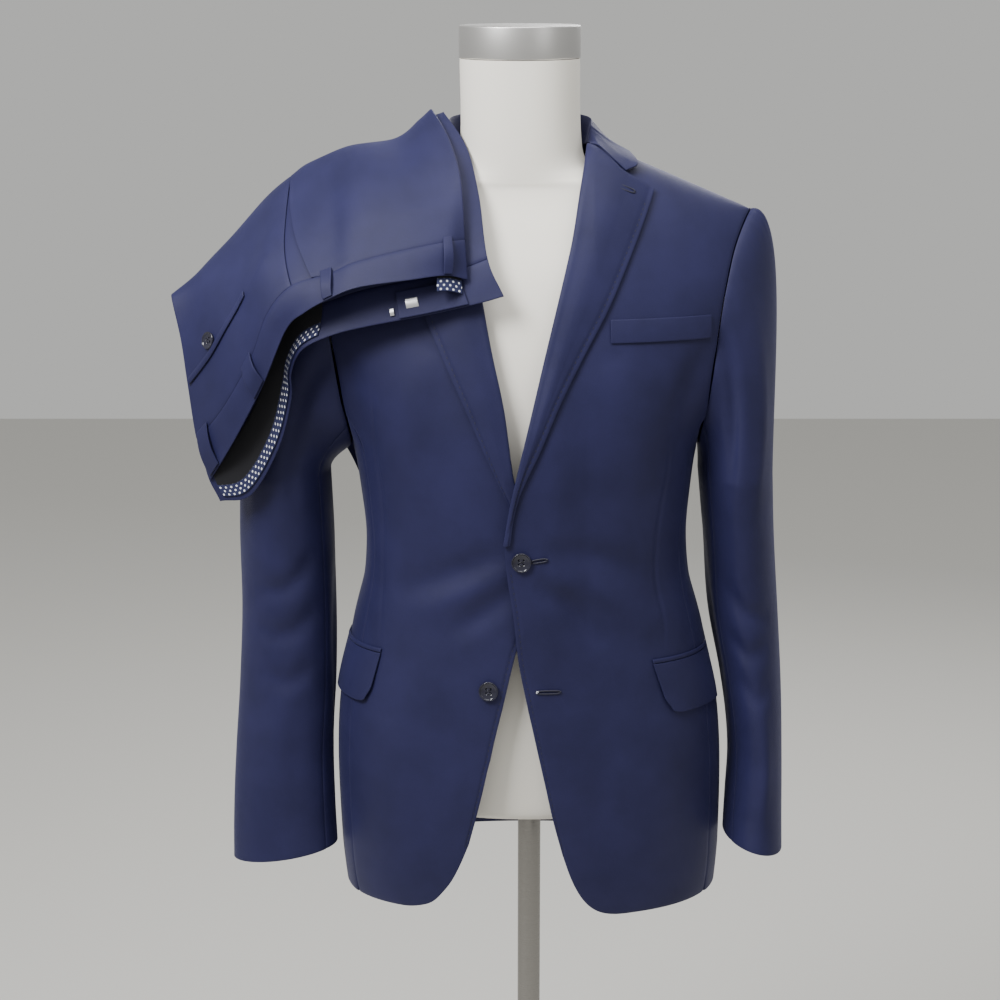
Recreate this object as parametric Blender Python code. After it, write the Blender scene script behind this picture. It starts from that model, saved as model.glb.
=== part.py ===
"""Two-piece suit on a limbless dress form: a jacket worn by the form, its trousers over one shoulder.

Frame: metres, +Z up, floor at z = 0 under the base, pole axis on x = 0, y = 0.
+X is the wearer's left and -Y is the front. Every garment piece is a thin wall laid on a surface
that is worked out from a few section tables. The form and all it carries lean slightly to the
side that carries the trousers.
"""
import math

import bmesh
import bpy
import numpy as np
from mathutils import Matrix

# ---------------------------------------------------------------- driving dimensions (metres)
CLOTH = 0.0015             # jacket cloth with its canvas
TROUSER_CLOTH = 0.0014     # trouser cloth
SEAM_GAP = 0.0003          # between two pieces that are sewn together
HEM_Z = 0.7185             # jacket hem
CHEST_Z = 1.170            # where the chest starts to round in to the shoulders
SHOULDER_Z = 1.490         # shoulder seam at the neck
NECK_X = 0.069             # neck point, out from the middle
SHOULDER_DROP = 0.43       # fall of the shoulder seam per metre outwards
SQUARENESS = 2.4           # exponent of the torso's rounded section
LEAN = -0.0155             # sideways lean per metre of height
LEAN_Z = 0.82              # height of the form's seat on its pole
SIDE_SEAM_FRONT = math.pi / 2 - 0.42
SIDE_SEAM_BACK = math.pi / 2 + 0.40
ARMPIT_Z = 1.185
ARMHOLE_HALF_ANGLE = 0.62  # reach of the armhole round the torso, each way from the side
CENTRE_FRONT_LIFT = 0.0068 # how far the fastened left front stands off the right one

# height, half width, depth of the front, depth of the back
JACKET_SECTIONS = (
    (0.700, 0.1930, 0.131, 0.136),
    (0.760, 0.1985, 0.135, 0.139),
    (0.860, 0.2000, 0.138, 0.134),
    (0.930, 0.1945, 0.136, 0.124),
    (1.000, 0.1800, 0.133, 0.112),
    (1.060, 0.1675, 0.131, 0.104),
    (1.110, 0.1665, 0.132, 0.103),
    (1.190, 0.1755, 0.134, 0.113),
    (1.250, 0.2030, 0.134, 0.122),
    (1.310, 0.2230, 0.134, 0.131),
    (1.380, 0.2320, 0.134, 0.138),
    (1.440, 0.2310, 0.134, 0.140),
    (1.490, 0.2280, 0.134, 0.140),
)
# height, half width, depth of the front, depth of the back
FORM_SECTIONS = (
    (0.812, 0.138, 0.100, 0.104),
    (0.826, 0.147, 0.107, 0.113),
    (0.900, 0.158, 0.112, 0.118),
    (0.980, 0.152, 0.108, 0.104),
    (1.060, 0.146, 0.106, 0.092),
    (1.120, 0.148, 0.110, 0.092),
    (1.190, 0.158, 0.117, 0.099),
    (1.250, 0.178, 0.117, 0.106),
    (1.310, 0.196, 0.110, 0.107),
    (1.360, 0.204, 0.098, 0.100),
    (1.400, 0.204, 0.080, 0.085),
    (1.428, 0.192, 0.066, 0.070),
    (1.444, 0.164, 0.0600, 0.0615),
    (1.452, 0.122, 0.0595, 0.0600),
    (1.458, 0.086, 0.0595, 0.0595),
    (1.470, 0.0650, 0.0595, 0.0595),
    (1.500, 0.0595, 0.0595, 0.0595),
    (1.5685, 0.0592, 0.0592, 0.0592),
)
# front edge and roll line of each front, from the start of the hem's curve up: out from the middle, height
LEFT_EDGE = (
    (0.0310, 0.788), (0.0220, 0.825), (0.0146, 0.862), (0.0070, 0.899), (-0.0010, 0.938),
    (-0.0097, 0.987), (-0.0149, 1.040), (-0.0210, 1.090), (-0.0205, 1.110), (-0.0112, 1.160),
    (0.0082, 1.238), (0.0234, 1.298), (0.0407, 1.364), (0.0510, 1.405), (0.0600, 1.450),
    (NECK_X, SHOULDER_Z),
)
RIGHT_EDGE = (
    (0.0629, 0.797), (0.0552, 0.825), (0.0474, 0.856), (0.0380, 0.888), (0.0260, 0.944),
    (0.0120, 1.000), (-0.0060, 1.045), (-0.0180, 1.090), (-0.0130, 1.112), (0.0113, 1.160),
    (0.0230, 1.242), (0.0341, 1.298), (0.0455, 1.364), (0.0530, 1.405), (0.0610, 1.450),
    (NECK_X, SHOULDER_Z),
)
# curve of the hem from the front edge to the level hem: out from the middle, height
LEFT_HEM = ((0.0310, 0.788), (0.0405, 0.7586), (0.0515, 0.7370), (0.0646, 0.7240), (0.0820, 0.7187),
            (0.1080, HEM_Z))
RIGHT_HEM = ((0.0629, 0.797), (0.0719, 0.7747), (0.0814, 0.7553), (0.0907, 0.7424), (0.1030, 0.7290),
             (0.1250, 0.7215))
# outer edge of each lapel from its foot to its point: out from the middle, height
LEFT_LAPEL_EDGE = ((-0.0190, 1.100), (-0.0080, 1.155), (0.0140, 1.204), (0.0332, 1.247), (0.0559, 1.291),
              (0.0816, 1.338), (0.1078, 1.395), (0.1284, 1.4435))
RIGHT_LAPEL_EDGE = ((0.0150, 1.142), (0.0225, 1.160), (0.0400, 1.200), (0.0600, 1.247), (0.0790, 1.291),
                    (0.0980, 1.338), (0.1160, 1.395), (0.1284, 1.4435))
# top of the lapel from the neck down the gorge seam to the notch and the lapel's point
LAPEL_TOP = ((NECK_X - 0.002, 1.4830), (0.0770, 1.4765), (0.0890, 1.4655), (0.0990, 1.4575),
             (0.1284, 1.4435))
# share of the lapel's width, height that the lapel's outer face stands off the front there
LAPEL_ROLL = ((0.00, 0.0024), (0.06, 0.0052), (0.30, 0.0050), (0.65, 0.0040), (1.00, 0.0032))
LAPEL_CLOTH = 0.0018
LAPEL_TOP_LIFT = 0.0009    # near the gorge the lapel stands off this much more
UNDER_LAPEL_LIFT = 0.0042  # the right lapel's foot stays this low, under the fastened left front

# sleeves: height, inner side, outer side, middle front to back, half depth
LEFT_SLEEVE = (
    (1.155, 0.1770, 0.2525, 0.000, 0.078),
    (1.090, 0.1825, 0.2550, 0.003, 0.074),
    (1.010, 0.1880, 0.2600, 0.005, 0.069),
    (0.930, 0.2015, 0.2636, -0.003, 0.064),
    (0.860, 0.2080, 0.2640, -0.015, 0.060),
    (0.800, 0.2040, 0.2632, -0.028, 0.056),
    (0.770, 0.2015, 0.2628, -0.036, 0.055),
)
RIGHT_SLEEVE = (
    (1.155, 0.1990, 0.2915, 0.000, 0.070),
    (1.090, 0.1975, 0.2945, 0.001, 0.062),
    (1.010, 0.1975, 0.2955, 0.000, 0.056),
    (0.930, 0.1995, 0.3005, -0.008, 0.050),
    (0.860, 0.2040, 0.3065, -0.019, 0.045),
    (0.800, 0.2035, 0.3100, -0.030, 0.041),
    (0.757, 0.2020, 0.3112, -0.036, 0.039),
)
CUFF_RISE = 0.008          # the cuff is this much higher at the inner side, and lower at the outer
SLEEVE_SEAM_FRONT = 0.62   # front and back sleeve seams, round from the inner side
SLEEVE_SEAM_BACK = 2 * math.pi - 0.85

# collar sections from the back of the neck to the notch; x, y, z of five points on each
COLLAR = (
    # stand               fold                    under fold             fall                   leaf edge
    ((0.000, .0650, 1.470), (0.000, .0690, 1.5100), (0.000, .0725, 1.5085),
     (0.000, .0800, 1.485), (0.000, .0880, 1.4590)),
    ((.0260, .0600, 1.473), (.0280, .0640, 1.5100), (.0295, .0670, 1.5085),
     (.0330, .0740, 1.485), (.0370, .0820, 1.4600)),
    ((.0500, .0420, 1.479), (.0530, .0445, 1.5095), (.0560, .0470, 1.5080),
     (.0630, .0530, 1.487), (.0700, .0600, 1.4660)),
    ((.0630, .0150, 1.484), (.0680, .0170, 1.5080), (.0715, .0180, 1.5065),
     (.0830, .0220, 1.491), (.0960, .0280, 1.4770)),
    ((.0640, -.004, 1.486), (.0685, -.003, 1.5030), (.0725, -.003, 1.5020),
     (.0870, -.003, 1.4905), (.1040, .0000, 1.4800)),
    ((.0648, -.008, 1.487), (.0685, -.008, 1.4990), (.0728, -.0085, 1.4985),
     (.0885, -.012, 1.4870), (.1090, -.012, 1.4775)),
    ((.0655, -.012, 1.488), (.0690, -.014, 1.4945), (.0755, -.0170, 1.4925),
     (.0940, -.029, 1.4790), (.1145, -.033, 1.4690)),
)

# trousers, outer half: lines down the cloth from the front crease to the centre-back seam;
# each gives x, y, z over the shoulder, then at the ridge, two places below, the waist seam and the waist edge
OUTER_HALF = (
    ((-.0860, .032, 1.508), (-.0890, .000, 1.518), (-.0720, -.045, 1.494),
     (-.0600, -.085, 1.458), (-.0560, -.115, 1.404), (-.0540, -.128, 1.368)),
    ((-.0990, .032, 1.500), (-.1000, .000, 1.508), (-.0850, -.050, 1.483),
     (-.0760, -.090, 1.448), (-.0740, -.125, 1.403), (-.0740, -.138, 1.373)),
    ((-.1260, .032, 1.484), (-.1260, .000, 1.490), (-.1180, -.055, 1.471),
     (-.1120, -.095, 1.440), (-.1090, -.130, 1.397), (-.1070, -.146, 1.370)),
    ((-.1720, .032, 1.474), (-.1740, .000, 1.481), (-.1690, -.050, 1.459),
     (-.1630, -.095, 1.425), (-.1590, -.130, 1.385), (-.1560, -.146, 1.363)),
    ((-.2090, .030, 1.458), (-.2100, .000, 1.466), (-.2010, -.050, 1.440),
     (-.1930, -.092, 1.410), (-.1850, -.127, 1.374), (-.1840, -.143, 1.352)),
    ((-.2280, .028, 1.445), (-.2290, -.005, 1.453), (-.2310, -.052, 1.422),
     (-.2300, -.092, 1.391), (-.2220, -.122, 1.361), (-.2090, -.134, 1.337)),
    ((-.2560, .024, 1.420), (-.2580, -.010, 1.430), (-.2580, -.056, 1.401),
     (-.2560, -.092, 1.372), (-.2460, -.118, 1.334), (-.2280, -.126, 1.319)),
    ((-.2890, .018, 1.384), (-.2910, -.015, 1.392), (-.2850, -.060, 1.363),
     (-.2790, -.088, 1.332), (-.2650, -.110, 1.288), (-.2530, -.117, 1.264)),
    ((-.3200, .012, 1.352), (-.3210, -.020, 1.360), (-.3120, -.055, 1.327),
     (-.3040, -.077, 1.291), (-.2940, -.092, 1.239), (-.2850, -.098, 1.206)),
    ((-.3500, .008, 1.326), (-.3510, -.022, 1.336), (-.3410, -.040, 1.295),
     (-.3350, -.050, 1.252), (-.3270, -.060, 1.197), (-.3150, -.066, 1.158)),
)
# trousers, inner half: its place along the outer half, then the waist seam and the waist edge
INNER_HALF = (
    (0.00, (-.0340, -.116, 1.386), (-.0190, -.131, 1.352)),
    (0.70, (-.0590, -.117, 1.377), (-.0480, -.131, 1.344)),
    (2.00, (-.1030, -.117, 1.367), (-.0970, -.130, 1.333)),
    (3.00, (-.1500, -.114, 1.357), (-.1470, -.126, 1.323)),
    (4.00, (-.1800, -.110, 1.347), (-.1850, -.122, 1.313)),
    (5.00, (-.2120, -.105, 1.334), (-.2150, -.114, 1.297)),
    (5.70, (-.2310, -.099, 1.311), (-.2270, -.106, 1.272)),
    (6.40, (-.2430, -.094, 1.280), (-.2280, -.099, 1.245)),
    (7.40, (-.2580, -.086, 1.234), (-.2430, -.091, 1.195)),
    (8.30, (-.2870, -.074, 1.187), (-.2730, -.079, 1.146)),
    (9.00, (-.3200, -.061, 1.172), (-.3060, -.064, 1.136)),
)
# front crease of the inner half, from behind the ridge down to the waist seam
INNER_CREASE = ((-.0745, .030, 1.511), (-.0745, .000, 1.5145),
                (-.0530, -.040, 1.485), (-.0415, -.078, 1.4425))
INNER_DEPTH = (0.0044, 0.0044, 0.0056, 0.0090)  # the inner half lies this far under the outer one's rows
# rows of the two halves: behind the ridge, the ridge, two places below it, the waist seam and the waist edge
WAIST_SEAM_ROW = 4
SIDE_SEAM_LINE = 5
POCKET_MOUTH_SHIFT = 0.55  # the slant pocket's mouth leaves the side seam by this many lines at the waist
POCKET_TOP_ROW = 1.0       # row where the mouth meets the side seam
FACING_DEPTH = 0.0017      # the facing lies this far under the outer face
FACING_TUCK = 0.22         # and reaches this many lines in under the mouth
FACING_CLOTH = 0.0010
CURTAIN_CLOTH = 0.0010
TRIM_CLOTH = 0.0014
CREASE_DEPTH = 0.0034      # the front crease's fold turns under by this much
CREASE_REACH = 0.0045
LOOP_HALF = 0.17           # half width of a belt loop, in lines
LOOP_LIFT = 0.0019
LOOP_BOW = 0.0028
# folded legs behind the shoulder: outer edge and inner edge of the pile, down to the knee fold
LEGS_OUTER = ((-.3360, .052, 1.300), (-.2960, .098, 1.258), (-.2420, .131, 1.214),
              (-.1960, .146, 1.160), (-.1680, .148, 1.105))
LEGS_INNER = ((-.0640, .078, 1.484), (-.0400, .116, 1.422), (-.0060, .141, 1.330),
              (.0350, .144, 1.210), (.0700, .144, 1.098))
LEGS_CROWN = 0.012
LEGS_THICKNESS = 0.013
LEGS_LAYERS = 4
LAYER_BULGE = 0.0022
CORE_ROWS = (-0.030, -0.010, 0.010, 0.024)   # where the pile lies on the shoulder, front to back
CORE_LINES = (1.10, 8.8)   # first and last line that it reaches under the outer half
CORE_DEPTH = 0.0080        # the pile's top lies this far under the outer half's face
CORE_THICKNESS = 0.009     # beyond the shoulder
CORE_TALL = 0.030          # at most, on the shoulder
CORE_CLEARANCE = 0.0012    # over the jacket's shoulder
CORE_ON_SHOULDER_X = -0.206
COLLAR_REACH_X = -0.130    # nearer than this to the neck, the pile lies on the collar
COLLAR_TOP_Z = 1.4885

# pockets, buttons and other trim
WELT = {"inner": 0.083, "outer": 0.182, "low": 1.304, "tall": 0.0225}
LEFT_FLAP = {"front": 0.667, "back": 1.430, "top": 0.980, "rise": -0.003, "tall": 0.053, "slant": 0.06}
RIGHT_FLAP = {"front": 0.880, "back": 1.600, "top": 0.986, "rise": -0.004, "tall": 0.053, "slant": 0.04}
JET_TALL = 0.0045
BUTTON_RADIUS = 0.0098
BUTTON_THICKNESS = 0.0034
BACK_BUTTON_RADIUS = 0.0085
TOP_BUTTON = (-0.0060, 1.093)
LOWER_BUTTON = (0.0400, 0.960)
# stand
CAP_RADIUS = 0.0600
CAP_TALL = 0.0315
CAP_SEAT_Z = 1.5690
POLE_RADIUS = 0.0120
BASE_RADIUS = 0.1900
BASE_TALL = 0.0100
FORM_FLOOR_Z = 0.812

COLOURS = {
    "suit_wool": ((0.030, 0.034, 0.085, 1), 0.75, 0.0),
    "curtain_cotton": ((0.035, 0.040, 0.110, 1), 0.80, 0.0),
    "button_horn": ((0.012, 0.013, 0.022, 1), 0.30, 0.0),
    "hook_metal": ((0.55, 0.55, 0.56, 1), 0.35, 1.0),
    "form_jersey": ((0.80, 0.77, 0.70, 1), 0.85, 0.0),
    "brushed_steel": ((0.52, 0.51, 0.50, 1), 0.32, 1.0),
}


# ---------------------------------------------------------------- curves and surfaces
def through(points, places):
    """Points on a Catmull-Rom curve through a list of points, at places 0 to 1 along the list."""
    points = np.asarray(points, float)
    last = len(points) - 1
    padded = np.vstack([2 * points[0] - points[1], points, 2 * points[-1] - points[-2]])
    result = []
    for place in np.clip(np.asarray(places, float), 0, 1) * last:
        start = min(int(place), last - 1)
        part = place - start
        before, here, there, after = padded[start:start + 4]
        result.append(0.5 * (2 * here + (there - before) * part
                             + (2 * before - 5 * here + 4 * there - after) * part ** 2
                             + (3 * here - before - 3 * there + after) * part ** 3))
    return np.array(result)


def along(points, places):
    """The same curve, read at shares of its length."""
    fine = np.linspace(0, 1, 161)
    curve = through(points, fine)
    run = np.concatenate([[0], np.cumsum(np.linalg.norm(np.diff(curve, axis=0), axis=1))])
    return through(points, np.interp(np.asarray(places) * run[-1], run, fine))


def at_height(table, height):
    """A section table read smoothly at a height."""
    heights = [row[0] for row in table]
    rising = heights[0] < heights[-1]
    keys = heights if rising else heights[::-1]
    place = np.interp(height, keys, range(len(keys))) / (len(keys) - 1)
    return through([row[1:] for row in table], [place if rising else 1 - place])[0]


def ease(low, high, value):
    """0 below low, 1 above high, smooth between."""
    part = min(max((value - low) / (high - low), 0.0), 1.0)
    return part * part * (3 - 2 * part)


def torso(angle, height):
    """A point of the jacket's outer face, on the wearer's left. Angle 0 is the front, pi the back."""
    half, front, back = at_height(JACKET_SECTIONS, height)
    rise = min(max((height - CHEST_Z) / (SHOULDER_Z - CHEST_Z), 0.0), 1.0)
    dome = math.sqrt(max(0.0, 1 - rise * rise))
    power = 2 / SQUARENESS
    x = math.copysign(half * abs(math.sin(angle)) ** power, math.sin(angle))
    reach = abs(math.cos(angle)) ** power
    y = -front * dome * reach if math.cos(angle) > 0 else back * dome * reach
    z = height - SHOULDER_DROP * rise ** 1.5 * max(0.0, x - NECK_X)
    return np.array((x, y, z))


def torso_normal(angle, height):
    """The outward direction of the jacket's face."""
    step = 0.004
    top = min(height + step, SHOULDER_Z - 1e-4)
    across = torso(angle + step, height) - torso(angle - step, height)
    up = torso(angle, top) - torso(angle, top - 2 * step)
    out = np.cross(across, up)
    if height > SHOULDER_Z - 0.0005:
        out[1] = 0.0
    return out / np.linalg.norm(out)


def front_place(x, z):
    """Angle and nominal height of the front's point with this x and z."""
    height = z
    for _ in range(12):
        rise = min(max((height - CHEST_Z) / (SHOULDER_Z - CHEST_Z), 0.0), 1.0)
        height = min(z + SHOULDER_DROP * rise ** 1.5 * max(0.0, x - NECK_X), SHOULDER_Z)
    half = at_height(JACKET_SECTIONS, height)[0]
    share = min(abs(x) / half, 1.0) ** (SQUARENESS / 2)
    return math.copysign(math.asin(share), x), height


def on_torso(angle, height, lift=0.0):
    """A point that stands off the jacket's face."""
    return torso(angle, height) + torso_normal(angle, height) * lift


def on_front(x, z, lift=0.0):
    """A point that stands off the front, given as seen from the front."""
    return on_torso(*front_place(x, z), lift)


def armhole(turn):
    """Angle and height on the armhole's edge: turn 0 is the armpit, pi / 2 the front, pi the shoulder."""
    middle = (SHOULDER_Z + ARMPIT_Z) / 2
    half = (SHOULDER_Z - ARMPIT_Z) / 2
    return math.pi / 2 - ARMHOLE_HALF_ANGLE * math.sin(turn), middle - half * math.cos(turn)


def filled(left, right, bottom, top):
    """A grid of places between four borders (a Coons patch), rows from bottom to top."""
    left, right, bottom, top = (np.asarray(side, float) for side in (left, right, bottom, top))
    up = np.linspace(0, 1, len(left))[:, None, None]
    over = np.linspace(0, 1, len(bottom))[None, :, None]
    return ((1 - over) * left[:, None] + over * right[:, None] + (1 - up) * bottom[None] + up * top[None]
            - (1 - over) * (1 - up) * bottom[0] - over * (1 - up) * bottom[-1]
            - (1 - over) * up * top[0] - over * up * top[-1])


def inset(grid, gap=SEAM_GAP / 2):
    """The grid with its borders drawn in, so that sewn pieces stay a seam's gap apart."""
    grid = grid.copy()
    for view in (grid, grid.transpose(1, 0, 2)):
        for edge, inner in ((0, 1), (-1, -2)):
            step = view[inner] - view[edge]
            length = np.linalg.norm(step, axis=1, keepdims=True)
            view[edge] += step / np.maximum(length, 1e-9) * np.minimum(gap, length / 4)
    return grid


def grid_normals(grid):
    """Unit normals of a grid, rows crossed with columns."""
    down = np.gradient(grid, axis=0)
    over = np.gradient(grid, axis=1)
    out = np.cross(over, down)
    return out / np.maximum(np.linalg.norm(out, axis=2, keepdims=True), 1e-12)


def blend_grid(sections, rows, columns):
    """A fine grid through a coarse one, smooth both ways."""
    sections = np.asarray(sections, float)
    lines = np.array([through(line, np.linspace(0, 1, columns)) for line in sections])
    return np.array([through(lines[:, column], np.linspace(0, 1, rows))
                     for column in range(columns)]).transpose(1, 0, 2)


# ---------------------------------------------------------------- making the objects
def leaned(grid):
    """The lean of the form and the suit on its pole."""
    grid = np.array(grid, float)
    grid[..., 0] += LEAN * (grid[..., 2] - LEAN_Z)
    return grid


def mirrored(grid):
    """The same piece on the wearer's other side."""
    return np.asarray(grid) * (-1, 1, 1)


def material(slot):
    """The Principled material of a slot, made once for each object that asks."""
    colour, roughness, metallic = COLOURS[slot]
    made = bpy.data.materials.new(slot)
    made.use_nodes = True
    shader = made.node_tree.nodes["Principled BSDF"]
    shader.inputs["Base Color"].default_value = colour
    shader.inputs["Roughness"].default_value = roughness
    shader.inputs["Metallic"].default_value = metallic
    return made


def add_object(name, mesh_data, slot):
    """Puts a bmesh in the scene as a named object."""
    mesh = bpy.data.meshes.new(name)
    mesh_data.to_mesh(mesh)
    mesh_data.free()
    made = bpy.data.objects.new(name, mesh)
    bpy.context.collection.objects.link(made)
    mesh.materials.append(material(slot))
    mesh.shade_smooth()
    mesh.set_sharp_from_angle(angle=math.radians(35))
    return made


def sheet(name, grid, normals=None, slot="suit_wool", thickness=CLOTH):
    """A wall of cloth: the grid is its outer face and the thickness goes against the normals."""
    if normals is None:
        normals = grid_normals(grid)
    faces = [leaned(grid), leaned(grid - normals * thickness)]
    rows, columns = grid.shape[:2]
    mesh_data = bmesh.new()
    layers = []
    for face in faces:
        layers.append([[mesh_data.verts.new(point) for point in line] for line in face])
    facing_back = np.sum(grid_normals(grid) * normals) < 0
    for layer, turned in zip(layers, (facing_back, not facing_back)):
        for row in range(rows - 1):
            for column in range(columns - 1):
                corners = [layer[row][column], layer[row][column + 1],
                           layer[row + 1][column + 1], layer[row + 1][column]]
                mesh_data.faces.new(corners[::-1] if turned else corners)
    border = [(0, column) for column in range(columns)] + [(row, columns - 1) for row in range(1, rows)]
    border += [(rows - 1, column) for column in range(columns - 2, -1, -1)]
    border += [(row, 0) for row in range(rows - 2, 0, -1)]
    for here, there in zip(border, border[1:] + border[:1]):
        corners = [layers[side][place[0]][place[1]] for side, place in
                   ((0, there), (0, here), (1, here), (1, there))]
        mesh_data.faces.new(corners[::-1] if facing_back else corners)
    return add_object(name, mesh_data, slot)


def lathe(name, profile, slot, segments=40, centre=(0.0, 0.0), hollow=False):
    """A turned solid: the profile lists radius and height from the bottom of its axis to the top."""
    mesh_data = bmesh.new()
    vertices = [mesh_data.verts.new((radius, 0, height)) for radius, height in profile]
    edges = [mesh_data.edges.new(pair) for pair in zip(vertices, vertices[1:])]
    if hollow:
        edges.append(mesh_data.edges.new((vertices[-1], vertices[0])))
    bmesh.ops.spin(mesh_data, geom=vertices + edges, axis=(0, 0, 1), cent=(0, 0, 0),
                   angle=2 * math.pi, steps=segments, use_merge=True)
    bmesh.ops.remove_doubles(mesh_data, verts=mesh_data.verts, dist=1e-6)
    bmesh.ops.recalc_face_normals(mesh_data, faces=mesh_data.faces)
    bmesh.ops.translate(mesh_data, vec=(centre[0], centre[1], 0), verts=mesh_data.verts)
    return add_object(name, mesh_data, slot)


def loft(name, rings, slot):
    """A closed solid through rings of points, capped at both ends."""
    rings = leaned(rings)
    mesh_data = bmesh.new()
    loops = []
    for ring in rings:
        vertices = [mesh_data.verts.new(point) for point in ring]
        loops.append([mesh_data.edges.new((vertices[place], vertices[(place + 1) % len(vertices)]))
                      for place in range(len(vertices))])
    for lower, upper in zip(loops, loops[1:]):
        bmesh.ops.bridge_loops(mesh_data, edges=lower + upper)
    for loop in (loops[0], loops[-1]):
        bmesh.ops.contextual_create(mesh_data, geom=loop)
    bmesh.ops.recalc_face_normals(mesh_data, faces=mesh_data.faces)
    return add_object(name, mesh_data, slot)


# ---------------------------------------------------------------- dress form and stand
def form_ring(height, half, front, back, points=28):
    """One section of the dress form."""
    ring = []
    for turn in np.linspace(0, 2 * math.pi, points, endpoint=False):
        x = math.copysign(half * abs(math.sin(turn)) ** 0.86, math.sin(turn))
        depth = front if math.cos(turn) > 0 else back
        y = -math.copysign(depth * abs(math.cos(turn)) ** 0.86, math.cos(turn))
        share = ease(1.19, 1.47, height)
        ring.append((x, y, height - SHOULDER_DROP * share * max(0.0, abs(x) - NECK_X)))
    return ring


def build_form():
    """Torso with its neck, the steel neck cap, the pole and the base."""
    fine = np.linspace(0, 1, 24)
    sections = through(FORM_SECTIONS, fine)
    loft("form_torso", [form_ring(*row) for row in sections], "form_jersey")
    neck_x = LEAN * (CAP_SEAT_Z - LEAN_Z)
    bevel = 0.0015
    top = CAP_SEAT_Z + CAP_TALL
    lathe("neck_cap", [(0, CAP_SEAT_Z), (CAP_RADIUS - bevel, CAP_SEAT_Z), (CAP_RADIUS, CAP_SEAT_Z + bevel),
                       (CAP_RADIUS, top - bevel), (CAP_RADIUS - bevel, top), (0, top)],
          "brushed_steel", 32, (neck_x, 0))
    lathe("pole", [(0, BASE_TALL + SEAM_GAP), (POLE_RADIUS, BASE_TALL + SEAM_GAP),
                   (POLE_RADIUS, FORM_FLOOR_Z - SEAM_GAP), (0, FORM_FLOOR_Z - SEAM_GAP)], "brushed_steel", 24)
    lathe("base", [(0, 0), (BASE_RADIUS, 0), (BASE_RADIUS, BASE_TALL - 0.003),
                   (BASE_RADIUS - 0.003, BASE_TALL), (0, BASE_TALL)], "brushed_steel", 40)


# ---------------------------------------------------------------- jacket
SIDE_ROWS = 8              # rows from the hem to the foot of the armhole seam
ARM_ROWS = 8               # rows up each side of the armhole
ARM_START = math.asin((math.pi / 2 - SIDE_SEAM_FRONT) / ARMHOLE_HALF_ANGLE)
ARM_START_BACK = math.asin((SIDE_SEAM_BACK - math.pi / 2) / ARMHOLE_HALF_ANGLE)


def side_seam(angle, start):
    """Places up a side seam from the hem to the armhole."""
    top = armhole(start)[1]
    return [(angle, height) for height in np.linspace(HEM_Z, top, SIDE_ROWS)]


def arm_turns(start):
    """Turns round the armhole from a side seam up to the shoulder."""
    return np.linspace(start, math.pi, ARM_ROWS)


def overlap_lift(point):
    """How far the left front stands off, where it lies over the right one."""
    x, _, z = point
    near_edge = 1 - ease(0.022, 0.062, x)
    height = ease(0.93, 1.05, z) * (1 - ease(1.20, 1.30, z))
    return CENTRE_FRONT_LIFT * near_edge * height


def torso_grid(places):
    """The jacket's face and its normals at a grid of places."""
    grid = np.array([[torso(*place) for place in row] for row in places])
    normals = np.array([[torso_normal(*place) for place in row] for row in places])
    return inset(grid), normals


def front_grid(edge, hem, left):
    """One front, from its edge to the side seam and armhole, with the cut-away hem."""
    outer = side_seam(SIDE_SEAM_FRONT, ARM_START)
    outer += [armhole(turn) for turn in arm_turns(ARM_START)[1:]]
    heights = [max(place[1], edge[0][1]) for place in outer]
    keys = [row[1] for row in edge]
    first = sum(1 for height in heights if height <= edge[0][1])
    heights[:first + 1] = np.linspace(edge[0][1], heights[first], first + 1)
    inner = []
    for height in heights:
        place = np.interp(height, keys, range(len(keys))) / (len(keys) - 1)
        inner.append(front_place(through(edge, [place])[0][0], height))
    columns = 11
    curve = along(hem, np.linspace(0, 1, 7))
    bottom = [front_place(x, z) for x, z in curve]
    last = bottom[-1]
    for part in np.linspace(0, 1, columns - 6)[1:]:
        bottom.append((last[0] + (SIDE_SEAM_FRONT - last[0]) * part, last[1] + (HEM_Z - last[1]) * part))
    neck = inner[-1][0]
    top = [(neck + (math.pi / 2 - neck) * part, SHOULDER_Z) for part in np.linspace(0, 1, columns)]
    grid, normals = torso_grid(filled(inner, outer, bottom, top))
    if left:
        lifts = np.array([[overlap_lift(point) for point in row] for row in grid])
        grid += normals * lifts[..., None]
    return grid, normals


def side_grid():
    """The side panel between the two side seams, up to the foot of the armhole."""
    turns = np.linspace(ARM_START, -ARM_START_BACK, 6)
    top = [armhole(turn) for turn in turns]
    bottom = [(angle, HEM_Z) for angle in np.linspace(SIDE_SEAM_FRONT, SIDE_SEAM_BACK, 6)]
    return torso_grid(filled(side_seam(SIDE_SEAM_FRONT, ARM_START), side_seam(SIDE_SEAM_BACK, ARM_START_BACK),
                             bottom, top))


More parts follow.
